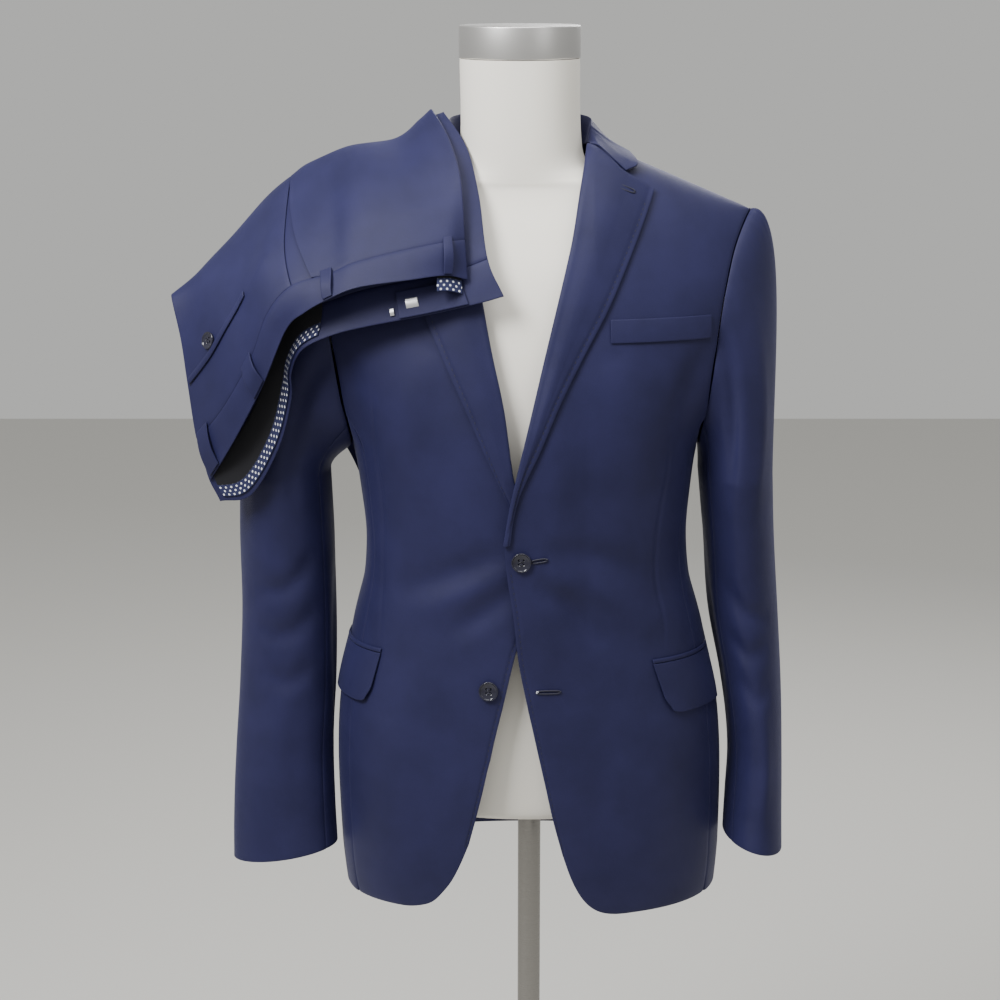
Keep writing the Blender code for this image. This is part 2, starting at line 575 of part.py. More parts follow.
def back_grid():
    """One back panel, from its side seam and armhole to the centre-back seam and the neck."""
    outer = side_seam(SIDE_SEAM_BACK, ARM_START_BACK)
    outer += [armhole(-turn) for turn in arm_turns(ARM_START_BACK)[1:]]
    neck_back = 1.456
    centre = [(math.pi, min(height, neck_back)) for _, height in outer]
    last = [height for _, height in outer if height < neck_back]
    upper = np.linspace(last[-3], neck_back, len(outer) - len(last) + 3)
    centre[len(last) - 3:] = [(math.pi, height) for height in upper]
    bottom = [(angle, HEM_Z) for angle in np.linspace(SIDE_SEAM_BACK, math.pi, 10)]
    neck_turn = math.pi - front_place(NECK_X, SHOULDER_Z)[0]
    top = [(math.pi / 2 + (neck_turn - math.pi / 2) * part, SHOULDER_Z) for part in np.linspace(0, 1, 7)]
    for part in (0.34, 0.67, 1.0):
        turn = math.pi / 2 * part
        x = NECK_X * math.cos(turn)
        height = SHOULDER_Z - (SHOULDER_Z - neck_back) * math.sin(turn) ** 1.1
        share = (x / at_height(JACKET_SECTIONS, height)[0]) ** (SQUARENESS / 2)
        top.append((math.pi - math.asin(share), height))
    return torso_grid(filled(outer, centre, bottom, top))


def lapel_grid(edge, lapel_edge, left):
    """The lapel, turned back over its front from the roll line."""
    foot = lapel_edge[0][1]
    roll = along([(x, z) for x, z in edge if z > foot - 0.035 and z > 1.095], np.linspace(0, 1, 12))
    outer = along(lapel_edge, np.linspace(0, 1, 12))
    if left:
        outer[0] = roll[0] + (0.004, 0.0)
    shares = [row[0] for row in LAPEL_ROLL]
    bottom = [roll[0] + (outer[0] - roll[0]) * share for share in shares]
    roll[-1] = LAPEL_TOP[0]
    top = along(LAPEL_TOP, [0.0, 0.12, 0.36, 0.62, 1.0])
    places = filled(roll, outer, bottom, top)
    grid = np.empty(places.shape[:2] + (3,))
    for row in range(places.shape[0]):
        for column in range(places.shape[1]):
            x, z = places[row, column]
            lift = LAPEL_ROLL[column][1]
            if left:
                lift += overlap_lift(on_front(x, z))
            else:
                lift = min(lift, UNDER_LAPEL_LIFT + lift * ease(1.165, 1.200, z))
            grid[row, column] = on_front(x, z, lift + LAPEL_TOP_LIFT * ease(1.39, 1.43, z))
    return grid


def collar_grid():
    """The collar round the back of the neck, from notch to notch, with its stand inside."""
    half = np.array(COLLAR)
    sections = np.concatenate([mirrored(half[:0:-1]), half])
    return blend_grid(sections, 21, 7)


def sleeve_ring(table, height, turn):
    """A point of a sleeve below the armpit; turn 0 is the inner side, pi / 2 the front."""
    inner, outer, middle, depth = at_height(table, height)
    low = ease(1.0, 0.757, height) if height < 1.0 else 0.0
    centre, half = (inner + outer) / 2, (outer - inner) / 2
    return np.array((centre - half * math.cos(turn), middle - depth * math.sin(turn),
                     height + CUFF_RISE * low * math.cos(turn)))


def sleeve_grid(table, start, end, columns):
    """Part of a sleeve between two seams, rows from the armhole to the cuff, with its normals."""
    step = (end - start) / (columns - 1)
    turns = np.linspace(start - step, end + step, columns + 2)
    top = table[0][0]
    grid = []
    for part in np.linspace(0, 1, 6)[:-1]:
        row = []
        for turn in turns:
            seam = on_torso(*armhole(turn), 0.0004) + (0.0007, 0, 0)
            ring = sleeve_ring(table, top, turn)
            reach = np.linalg.norm(ring - seam)
            upper = (1 - math.cos(turn)) / 2
            leave = (np.array((0.44, 0.0, 0.04)) * upper + np.array((0.3, 0, -0.5)) * (1 - upper)) * reach
            arrive = np.array((0.0, 0.0, -1.15)) * reach
            row.append((2 * part ** 3 - 3 * part ** 2 + 1) * seam + (part ** 3 - 2 * part ** 2 + part) * leave
                       + (3 * part ** 2 - 2 * part ** 3) * ring + (part ** 3 - part ** 2) * arrive)
        grid.append(row)
    for height in np.linspace(top, table[-1][0], 8):
        grid.append([sleeve_ring(table, height, turn) for turn in turns])
    grid = np.array(grid)
    return inset(grid[:, 1:-1]), -grid_normals(grid)[:, 1:-1]


def flap_grid(flap):
    """A pocket flap with rounded lower corners."""
    grid = []
    for down in np.linspace(0, 1, 5):
        row = []
        for over in np.linspace(0, 1, 8):
            round_off = 0.003 * ease(0.6, 1.0, down) ** 2
            angle = flap["front"] + (flap["back"] - flap["front"]) * over + flap["slant"] * down * (1 - over)
            angle += round_off / 0.19 * (1 - 2 * over) * abs(1 - 2 * over) ** 3 * 2
            corner = 0.004 * abs(1 - 2 * over) ** 8 * down
            height = flap["top"] + flap["rise"] * over - (flap["tall"] - corner) * down
            row.append(on_torso(angle, height, 0.0022 + 0.0012 * down))
        grid.append(row)
    return np.array(grid)


def jet_grid(flap):
    """The narrow strip above a flap."""
    return np.array([[on_torso(flap["front"] + (flap["back"] - flap["front"]) * over,
                               flap["top"] + flap["rise"] * over + 0.0006 + JET_TALL * up, 0.0019)
                      for over in np.linspace(0, 1, 8)] for up in (1.0, 0.0)])


def welt_grid():
    """The breast pocket's welt."""
    grid = []
    for down in (0.0, 0.5, 1.0):
        row = []
        for over in np.linspace(0, 1, 6):
            x = WELT["inner"] + (WELT["outer"] - WELT["inner"]) * over
            row.append(on_front(x, WELT["low"] + WELT["tall"] * (1 - down), 0.0020))
        grid.append(row)
    return np.array(grid)


def frame_at(x, z, side, lift):
    """Centre and axes of something that sits on a front: right, up and outward."""
    def place(dx, dz):
        point = on_front(x + dx, z + dz, lift)
        if side > 0:
            point = point + torso_normal(*front_place(x + dx, z + dz)) * overlap_lift(point)
        return leaned(point * (side, 1, 1))
    centre = place(0, 0)
    across = (place(0.004, 0) - place(-0.004, 0)) * side
    up = place(0, 0.004) - place(0, -0.004)
    across /= np.linalg.norm(across)
    out = np.cross(across, up)
    out /= np.linalg.norm(out)
    return centre, across, np.cross(out, across), out


def build_button(name, centre, across, up, out, radius=BUTTON_RADIUS):
    """A button with a raised rim and a dished face, its back at the centre given."""
    scale = radius / BUTTON_RADIUS
    thick = BUTTON_THICKNESS * scale
    profile = [(0, 0), (radius * 0.80, 0), (radius, thick * 0.45), (radius * 0.97, thick * 0.9),
               (radius * 0.86, thick), (radius * 0.72, thick * 0.72), (0, thick * 0.66)]
    made = lathe(name, profile, "button_horn", 20)
    made.matrix_world = Matrix((
        (across[0], up[0], out[0], centre[0]),
        (across[1], up[1], out[1], centre[1]),
        (across[2], up[2], out[2], centre[2]),
        (0, 0, 0, 1)))


def both_ways(name, grid, normals, side, **finish):
    """A piece made for the wearer's left, on the left (side 1) or mirrored to the right (side -1)."""
    sheet(name, grid * (side, 1, 1), normals * (side, 1, 1), **finish)


def build_jacket():
    """Every jacket piece."""
    both_ways("jacket_front_left", *front_grid(LEFT_EDGE, LEFT_HEM, True), 1)
    both_ways("jacket_front_right", *front_grid(RIGHT_EDGE, RIGHT_HEM, False), -1)
    sides = (("left", 1, LEFT_FLAP, LEFT_SLEEVE), ("right", -1, RIGHT_FLAP, RIGHT_SLEEVE))
    for name, side, flap, sleeve in sides:
        both_ways(f"jacket_side_{name}", *side_grid(), side)
        both_ways(f"jacket_back_{name}", *back_grid(), side)
        both_ways(f"sleeve_top_{name}", *sleeve_grid(sleeve, SLEEVE_SEAM_FRONT, SLEEVE_SEAM_BACK, 12), side)
        both_ways(f"sleeve_under_{name}",
                  *sleeve_grid(sleeve, SLEEVE_SEAM_BACK - 2 * math.pi, SLEEVE_SEAM_FRONT, 5), side)
        for part, grid in (("flap", flap_grid(flap)), ("jet", jet_grid(flap))):
            both_ways(f"{part}_{name}", grid, -grid_normals(grid), side, thickness=0.0014)
    left_lapel = lapel_grid(LEFT_EDGE, LEFT_LAPEL_EDGE, True)
    right_lapel = lapel_grid(RIGHT_EDGE, RIGHT_LAPEL_EDGE, False)
    both_ways("lapel_left", left_lapel, grid_normals(left_lapel), 1, thickness=LAPEL_CLOTH)
    both_ways("lapel_right", right_lapel, grid_normals(right_lapel), -1, thickness=LAPEL_CLOTH)
    collar = collar_grid()
    sheet("collar", collar, -grid_normals(collar), thickness=LAPEL_CLOTH)
    welt = welt_grid()
    sheet("breast_welt", welt, -grid_normals(welt), thickness=0.0014)
    build_button("button_top", *frame_at(*TOP_BUTTON, 1, 0.0006))
    build_button("button_lower", *frame_at(*LOWER_BUTTON, -1, 0.0006))


# ---------------------------------------------------------------- trousers
def spot(lines, line, row):
    """A point of a draped half at a place across its lines and down its rows."""
    start = int(min(max(math.floor(line) - 1, 0), len(lines) - 4))
    chosen = lines[start:start + 4]
    points = [through(points, [row / (len(points) - 1)])[0] for points in chosen]
    return through(points, [(line - start) / 3])[0]


def draped(lines, line_grid, row_grid, lift=0.0):
    """Points and normals of a draped half at grids of places, standing off the cloth by a lift."""
    step = 0.05
    top = len(lines) - 1
    rows = len(lines[0]) - 1
    grid = np.empty(np.shape(line_grid) + (3,))
    normals = np.empty_like(grid)
    lifts = np.broadcast_to(lift, np.shape(line_grid))
    for place in np.ndindex(np.shape(line_grid)):
        line, row = line_grid[place], row_grid[place]
        over = spot(lines, min(line + step, top), row) - spot(lines, max(line - step, 0), row)
        down = spot(lines, line, min(row + step, rows)) - spot(lines, line, max(row - step, 0))
        out = np.cross(over, down)
        out /= np.linalg.norm(out)
        normals[place] = out
        grid[place] = spot(lines, line, row) + out * lifts[place]
    return grid, normals


def patch(starts, ends, rows, columns):
    """Grids of places between two lines, which may change from row to row, at the rows given."""
    starts, ends = np.broadcast_to(starts, len(rows)), np.broadcast_to(ends, len(rows))
    line_grid = np.linspace(starts, ends, columns, axis=1)
    return line_grid, np.repeat(np.asarray(rows, float)[:, None], columns, axis=1)


def inner_lines():
    """Lines of the inner half: under the outer half above the waist, on their own at the waist."""
    lines = []
    rows = np.arange(4.0)[None, :]
    for place, seam, edge in INNER_HALF:
        above = list(INNER_CREASE)
        if place > 0:
            under, _ = draped(OUTER_HALF, np.full((1, 4), place), rows, -np.array(INNER_DEPTH)[None, :])
            above = list(under[0])
        lines.append([np.array(point) for point in above + [seam, edge]])
    return lines


def creased(grid, normals, depth=CREASE_DEPTH, reach=CREASE_REACH):
    """The grid with its first edge folded under, as at a pressed crease."""
    edge = grid[:, 0] - grid[:, 1]
    edge /= np.linalg.norm(edge, axis=1, keepdims=True)
    out = normals[:, 0]
    turns = [grid[:, 0] - edge * reach - out * depth, grid[:, 0] - edge * 0.0006 - out * depth * 0.96,
             grid[:, 0] + edge * 0.0012 - out * depth * 0.5]
    turned = np.concatenate([np.stack(turns, axis=1), grid], axis=1)
    sides = np.concatenate([np.stack([-out, edge * 0.5 - out * 0.5, edge], axis=1), normals], axis=1)
    return turned, sides / np.linalg.norm(sides, axis=2, keepdims=True)


def shoulder_under(x, y):
    """Height of the jacket's shoulder below a point, with the collar where it lies there."""
    low, high = CHEST_Z, SHOULDER_Z - 1e-4
    for _ in range(30):
        height = (low + high) / 2
        share = min(abs(x) / at_height(JACKET_SECTIONS, height)[0], 0.9999) ** (SQUARENESS / 2)
        angle = math.asin(share)
        point = torso(angle if y < 0 else math.pi - angle, height)
        if abs(point[1]) > abs(y):
            low = height
        else:
            high = height
    return max(point[2], COLLAR_TOP_Z) if x > COLLAR_REACH_X else point[2]


def belt_loop(name, lines, place):
    """A belt loop that bridges the waistband from its seam to its edge."""
    rows = np.linspace(WAIST_SEAM_ROW - 0.10, WAIST_SEAM_ROW + 0.97, 6)
    bow = LOOP_LIFT + LOOP_BOW * np.sin(np.linspace(0, math.pi, 6))[:, None]
    grid, normals = draped(lines, *patch(place - LOOP_HALF, place + LOOP_HALF, rows, 3), bow)
    sheet(name, grid, normals, thickness=TRIM_CLOTH)


def core_ring(y, places):
    """Top and underside of the folded legs where they lie on the shoulder, between its two ends."""
    top, under = [], []
    for place in places:
        rows = np.linspace(0, 2, 41)
        row = min(rows, key=lambda part: abs(spot(OUTER_HALF, place, part)[1] - y))
        grid, normals = draped(OUTER_HALF, np.array([[place]]), np.array([[row]]), -CORE_DEPTH)
        point, out = grid[0, 0], normals[0, 0]
        low = point - out * CORE_THICKNESS
        if point[0] > CORE_ON_SHOULDER_X:
            rest = shoulder_under(point[0], point[1]) + CORE_CLEARANCE
            low = np.array((point[0], point[1], min(max(rest, point[2] - CORE_TALL), point[2] - 0.004)))
        top.append(point)
        under.append(low)
    return top, under


def layered_ring(top, under):
    """One closed ring of the pile, its two ends grooved as the edges of folded layers."""
    ring = []
    steps = 2 * LEGS_LAYERS
    ends = ((top, top[-1], under[-1], top[-2]), (under[::-1], under[0], top[0], under[1]))
    for line, start, end, inner in ends:
        ring += list(line)
        outward = (start - inner) / np.linalg.norm(start - inner)
        for step in range(1, steps):
            bulge = LAYER_BULGE if step % 2 else 0.0
            ring.append(start + (end - start) * step / steps + outward * bulge)
    return ring


def build_legs():
    """The folded legs: one rounded pile from the shoulder to the knee fold, layered at its edges."""
    count = 11
    rings = [core_ring(y, np.linspace(*CORE_LINES, count)) for y in CORE_ROWS]
    for inner, outer in zip(np.array(LEGS_INNER), np.array(LEGS_OUTER)):
        span = outer - inner
        back = np.cross((0.35, 0.1, -1.0), span)
        back *= np.sign(back[1]) / np.linalg.norm(back)
        top = [inner + span * part + back * LEGS_CROWN * math.sin(math.pi * part) ** 0.7
               for part in np.linspace(0, 1, count)]
        rings.append((top, [point - back * LEGS_THICKNESS for point in top]))
    last_top, last_under = rings[-1]
    drop = np.array((0.004, -0.004, -0.006))
    rings.append(([point + drop for point in last_top], [point + drop * (1, -1, 1) for point in last_under]))
    loft("folded_legs", np.array([layered_ring(*ring) for ring in rings]), "suit_wool")


def build_trouser_halves(outer, inner):
    """Both legs' fronts and backs as they show at the top, and the waistband of each half."""
    rows = np.linspace(0, WAIST_SEAM_ROW, 11)
    band_rows = np.linspace(WAIST_SEAM_ROW, 5, 3)
    mouth = SIDE_SEAM_LINE - POCKET_MOUTH_SHIFT * np.clip(rows - POCKET_TOP_ROW, 0, None) / 3
    grid, normals = draped(outer, *patch(0, mouth, rows, 11))
    sheet("trouser_front_left", *creased(inset(grid), normals), thickness=TROUSER_CLOTH)
    grid, normals = draped(outer, *patch(SIDE_SEAM_LINE, 9, rows, 11))
    sheet("trouser_back_left", inset(grid), normals, thickness=TROUSER_CLOTH)
    lines = np.concatenate([np.linspace(0, mouth[-1], 11), np.linspace(SIDE_SEAM_LINE, 9, 11)])
    grid, normals = draped(outer, *np.meshgrid(lines, band_rows))
    sheet("waistband_left", *creased(inset(grid), normals), thickness=TROUSER_CLOTH)
    facing_rows = rows[rows > POCKET_TOP_ROW]
    facing_mouth = mouth[rows > POCKET_TOP_ROW]
    facing = patch(facing_mouth - FACING_TUCK, SIDE_SEAM_LINE, facing_rows, 4)
    grid, normals = draped(outer, *facing, -FACING_DEPTH)
    sheet("pocket_facing", inset(grid), normals, thickness=FACING_CLOTH)
    for name, start, end in (("front", 0, SIDE_SEAM_LINE), ("back", SIDE_SEAM_LINE, 10)):
        grid, normals = draped(inner, *patch(start, end, rows, 11))
        sheet(f"trouser_{name}_right", inset(grid), normals, thickness=TROUSER_CLOTH)
    lines = np.concatenate([np.linspace(0, SIDE_SEAM_LINE, 11), np.linspace(SIDE_SEAM_LINE, 10, 11)[1:]])
    grid, normals = draped(inner, *np.meshgrid(lines, band_rows))
    sheet("waistband_right", inset(grid), normals, thickness=TROUSER_CLOTH)


def build_trouser_trim(outer, inner):
    """Waistband curtains, fly tab with its hook and bar, belt loops, back pocket."""
    grid, normals = draped(inner, *patch(4.4, 9.8, np.linspace(3.85, 4.86, 4), 14), 0.0018)
    sheet("curtain_right", grid, normals, slot="curtain_cotton", thickness=CURTAIN_CLOTH)
    grid, normals = draped(outer, *patch(0.15, 1.25, np.linspace(4.35, 5, 4), 5), -CREASE_DEPTH - 0.0005)
    low = grid[-1] + (grid[-1] - grid[-2]) * 1.1
    sheet("curtain_left", np.concatenate([grid, low[None]]), np.concatenate([normals, normals[-1:]]),
          slot="curtain_cotton", thickness=CURTAIN_CLOTH)
    for name, lines, start, end, low_row, high_row, lift, slot, thick in (
            ("fly_tab", inner, 1.10, 2.42, 4.20, 4.97, 0.0018, "suit_wool", TRIM_CLOTH),
            ("hook", inner, 2.02, 2.26, 4.42, 4.72, 0.0030, "hook_metal", 0.0009),
            ("hook_bar", inner, 2.50, 2.58, 4.62, 4.85, 0.0016, "hook_metal", 0.0012),
            ("back_pocket_welt", outer, 6.60, 8.90, 2.93, 3.07, 0.0019, "suit_wool", TRIM_CLOTH)):
        grid, normals = draped(lines, *patch(start, end, np.linspace(low_row, high_row, 3), 7), lift)
        sheet(name, grid, normals, slot=slot, thickness=thick)
    for name, place in (("front", 0.90), ("side", 4.05), ("back", 7.10), ("centre", 8.75)):
        belt_loop(f"belt_loop_{name}", outer, place)
    point, normal = draped(outer, np.array([[8.05]]), np.array([[2.74]]), 0.0014)
    out = normal[0, 0]
    across = np.cross(spot(outer, 8.05, 2.9) - spot(outer, 8.05, 2.7), out)
    across /= np.linalg.norm(across)
    build_button("button_back_pocket", leaned(point[0, 0]), across, np.cross(out, across), out,
                 radius=BACK_BUTTON_RADIUS)


def build_trousers():
    """Every trouser piece, laid over the wearer's right shoulder."""
    outer = [[np.array(point) for point in line] for line in OUTER_HALF]
    inner = inner_lines()
    build_trouser_halves(outer, inner)
    build_trouser_trim(outer, inner)
    build_legs()


def main():
    """Builds the form, the jacket and the trousers."""
    for item in list(bpy.data.objects):
        bpy.data.objects.remove(item, do_unlink=True)
    build_form()
    build_jacket()
    build_trousers()


main()
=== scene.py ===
"""Looks of a two-piece suit on a limbless dress form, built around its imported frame.

Frame: metres, +Z up, floor at z = 0 under the base, pole axis on x = 0, y = 0. +X is the wearer's
left and -Y is the front. Garment surfaces come from short section tables; every cut piece is a fine
sheet of places on such a surface, with its folds, seams and stitches worked in.
"""

import logging
import math
from dataclasses import dataclass, field
from enum import Enum
from typing import Iterable, Sequence

import bmesh
import bpy
import numpy as np
from mathutils import Matrix, Vector

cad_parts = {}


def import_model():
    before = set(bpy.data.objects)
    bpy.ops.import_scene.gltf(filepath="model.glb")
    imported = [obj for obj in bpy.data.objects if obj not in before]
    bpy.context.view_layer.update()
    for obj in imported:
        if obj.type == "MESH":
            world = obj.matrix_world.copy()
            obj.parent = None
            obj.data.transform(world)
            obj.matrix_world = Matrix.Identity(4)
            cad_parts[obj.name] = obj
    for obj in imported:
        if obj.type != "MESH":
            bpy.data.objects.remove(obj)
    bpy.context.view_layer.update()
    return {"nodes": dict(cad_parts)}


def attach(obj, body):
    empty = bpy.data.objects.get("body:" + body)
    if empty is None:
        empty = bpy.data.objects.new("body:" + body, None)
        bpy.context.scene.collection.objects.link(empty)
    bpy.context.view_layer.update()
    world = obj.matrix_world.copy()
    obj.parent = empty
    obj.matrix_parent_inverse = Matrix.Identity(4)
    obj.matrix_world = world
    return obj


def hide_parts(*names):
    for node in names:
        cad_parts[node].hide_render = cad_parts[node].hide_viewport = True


LOG = logging.getLogger("suit")
Grid = np.ndarray

# ---------------------------------------------------------------- sizes shared with the parts
CLOTH = 0.0015             # jacket cloth with its canvas
TROUSER_CLOTH = 0.0014     # trouser cloth
HEM_Z = 0.7185             # jacket hem
CHEST_Z = 1.170            # where the chest starts to round in to the shoulders
SHOULDER_Z = 1.490         # shoulder seam at the neck
NECK_X = 0.069             # neck point, out from the middle
SHOULDER_DROP = 0.43       # fall of the shoulder seam per metre outwards
SQUARENESS = 2.4           # exponent of the torso's rounded section
LEAN = -0.0155             # sideways lean per metre of height
LEAN_Z = 0.82              # height of the form's seat on its pole
SIDE_SEAM_FRONT = math.pi / 2 - 0.42
SIDE_SEAM_BACK = math.pi / 2 + 0.40
ARMPIT_Z = 1.185
ARMHOLE_HALF_ANGLE = 0.62  # reach of the armhole round the torso, each way from the side
CENTRE_FRONT_LIFT = 0.0068 # how far the fastened left front stands off the right one


# height, half width, depth of the front, depth of the back
JACKET_SECTIONS = (
    (0.700, 0.1930, 0.131, 0.136),
    (0.760, 0.1985, 0.135, 0.139),
    (0.860, 0.2000, 0.138, 0.134),
    (0.930, 0.1945, 0.136, 0.124),
    (1.000, 0.1800, 0.133, 0.112),
    (1.060, 0.1675, 0.131, 0.104),
    (1.110, 0.1665, 0.132, 0.103),
    (1.190, 0.1755, 0.134, 0.113),
    (1.250, 0.2030, 0.134, 0.122),
    (1.310, 0.2230, 0.134, 0.131),
    (1.380, 0.2320, 0.134, 0.138),
    (1.440, 0.2310, 0.134, 0.140),
    (1.490, 0.2280, 0.134, 0.140),
)
# height, half width, depth of the front, depth of the back
FORM_SECTIONS = (
    (0.812, 0.138, 0.100, 0.104),
    (0.826, 0.147, 0.107, 0.113),
    (0.900, 0.158, 0.112, 0.118),
    (0.980, 0.152, 0.108, 0.104),
    (1.060, 0.146, 0.106, 0.092),
    (1.120, 0.148, 0.110, 0.092),
    (1.190, 0.158, 0.117, 0.099),
    (1.250, 0.178, 0.117, 0.106),
    (1.310, 0.196, 0.110, 0.107),
    (1.360, 0.204, 0.098, 0.100),
    (1.400, 0.204, 0.080, 0.085),
    (1.428, 0.192, 0.066, 0.070),
    (1.444, 0.164, 0.0600, 0.0615),
    (1.452, 0.122, 0.0595, 0.0600),
    (1.458, 0.086, 0.0595, 0.0595),
    (1.470, 0.0650, 0.0595, 0.0595),
    (1.500, 0.0595, 0.0595, 0.0595),
    (1.5685, 0.0592, 0.0592, 0.0592),
)
# front edge and roll line of each front, up from the hem's curve: out from the middle, height
LEFT_EDGE = (
    (0.0310, 0.788), (0.0220, 0.825), (0.0146, 0.862), (0.0070, 0.899), (-0.0010, 0.938),
    (-0.0097, 0.987), (-0.0149, 1.040), (-0.0210, 1.090), (-0.0205, 1.110), (-0.0112, 1.160),
    (0.0082, 1.238), (0.0234, 1.298), (0.0407, 1.364), (0.0510, 1.405), (0.0600, 1.450),
    (NECK_X, SHOULDER_Z),
)
RIGHT_EDGE = (
    (0.0629, 0.797), (0.0552, 0.825), (0.0474, 0.856), (0.0395, 0.888), (0.0260, 0.944),
    (0.0120, 1.000), (-0.0060, 1.045), (-0.0180, 1.090), (-0.0130, 1.112), (0.0113, 1.160),
    (0.0230, 1.242), (0.0341, 1.298), (0.0455, 1.364), (0.0530, 1.405), (0.0610, 1.450),
    (NECK_X, SHOULDER_Z),
)
# curve of the hem from the front edge to the level hem: out from the middle, height
LEFT_HEM = ((0.0310, 0.788), (0.0405, 0.7586), (0.0515, 0.7370), (0.0646, 0.7240), (0.0820, 0.7187),
            (0.1080, HEM_Z))
RIGHT_HEM = ((0.0629, 0.797), (0.0719, 0.7747), (0.0814, 0.7553), (0.0907, 0.7424), (0.1030, 0.7290),
             (0.1250, 0.7215))
# outer edge of each lapel from its foot to its point: out from the middle, height
LEFT_LAPEL_EDGE = ((-0.0190, 1.100), (-0.0080, 1.155), (0.0140, 1.204), (0.0332, 1.247), (0.0559, 1.291),
              (0.0816, 1.338), (0.1078, 1.395), (0.1284, 1.4435))
RIGHT_LAPEL_EDGE = ((0.0150, 1.142), (0.0225, 1.160), (0.0400, 1.200), (0.0600, 1.247), (0.0790, 1.291),
                    (0.0980, 1.338), (0.1160, 1.395), (0.1284, 1.4435))
# top of the lapel from the neck down the gorge seam to the notch and the lapel's point
LAPEL_TOP = ((NECK_X - 0.002, 1.4830), (0.0770, 1.4765), (0.0890, 1.4655), (0.0990, 1.4575),
             (0.1284, 1.4435))
# share of the lapel's width, height that the lapel's outer face stands off the front there
LAPEL_ROLL = ((0.00, 0.0024), (0.06, 0.0052), (0.30, 0.0050), (0.65, 0.0040), (1.00, 0.0032))
LAPEL_CLOTH = 0.0018
LAPEL_TOP_LIFT = 0.0009    # near the gorge the lapel stands off this much more
UNDER_LAPEL_LIFT = 0.0042  # the right lapel's foot stays this low, under the fastened left front

# sleeves: height, inner side, outer side, middle front to back, half depth
LEFT_SLEEVE = (
    (1.155, 0.1770, 0.2525, 0.000, 0.078),
    (1.090, 0.1825, 0.2550, 0.003, 0.074),
    (1.010, 0.1880, 0.2600, 0.005, 0.069),
    (0.930, 0.2015, 0.2636, -0.003, 0.064),
    (0.860, 0.2080, 0.2640, -0.015, 0.060),
    (0.800, 0.2040, 0.2632, -0.028, 0.056),
    (0.770, 0.2015, 0.2628, -0.036, 0.055),
)
RIGHT_SLEEVE = (
    (1.155, 0.1990, 0.2915, 0.000, 0.070),
    (1.090, 0.1975, 0.2945, 0.001, 0.062),
    (1.010, 0.1975, 0.2955, 0.000, 0.056),
    (0.930, 0.1995, 0.3005, -0.008, 0.050),
    (0.860, 0.2040, 0.3065, -0.019, 0.045),
    (0.800, 0.2035, 0.3100, -0.030, 0.041),
    (0.757, 0.2020, 0.3112, -0.036, 0.039),
)
CUFF_RISE = 0.008          # the cuff is this much higher at the inner side, and lower at the outer
SLEEVE_SEAM_FRONT = 0.62   # front and back sleeve seams, round from the inner side
SLEEVE_SEAM_BACK = 2 * math.pi - 0.85

# collar sections from the back of the neck to the notch; x, y, z of five points on each
COLLAR = (
    # stand               fold                    under fold             fall                   leaf edge
    ((0.000, .0650, 1.470), (0.000, .0690, 1.5100), (0.000, .0725, 1.5085),
     (0.000, .0800, 1.485), (0.000, .0880, 1.4590)),
    ((.0260, .0600, 1.473), (.0280, .0640, 1.5100), (.0295, .0670, 1.5085),
     (.0330, .0740, 1.485), (.0370, .0820, 1.4600)),
    ((.0500, .0420, 1.479), (.0530, .0445, 1.5095), (.0560, .0470, 1.5080),
     (.0630, .0530, 1.487), (.0700, .0600, 1.4660)),
    ((.0630, .0150, 1.484), (.0680, .0170, 1.5080), (.0715, .0180, 1.5065),
     (.0830, .0220, 1.491), (.0960, .0280, 1.4770)),
    ((.0640, -.004, 1.486), (.0685, -.003, 1.5030), (.0725, -.003, 1.5020),
     (.0870, -.003, 1.4905), (.1040, .0000, 1.4800)),
    ((.0648, -.008, 1.487), (.0685, -.008, 1.4990), (.0728, -.0085, 1.4985),
     (.0885, -.012, 1.4870), (.1090, -.012, 1.4775)),
    ((.0655, -.012, 1.488), (.0690, -.014, 1.4945), (.0755, -.0170, 1.4925),
     (.0940, -.029, 1.4790), (.1145, -.033, 1.4690)),
)

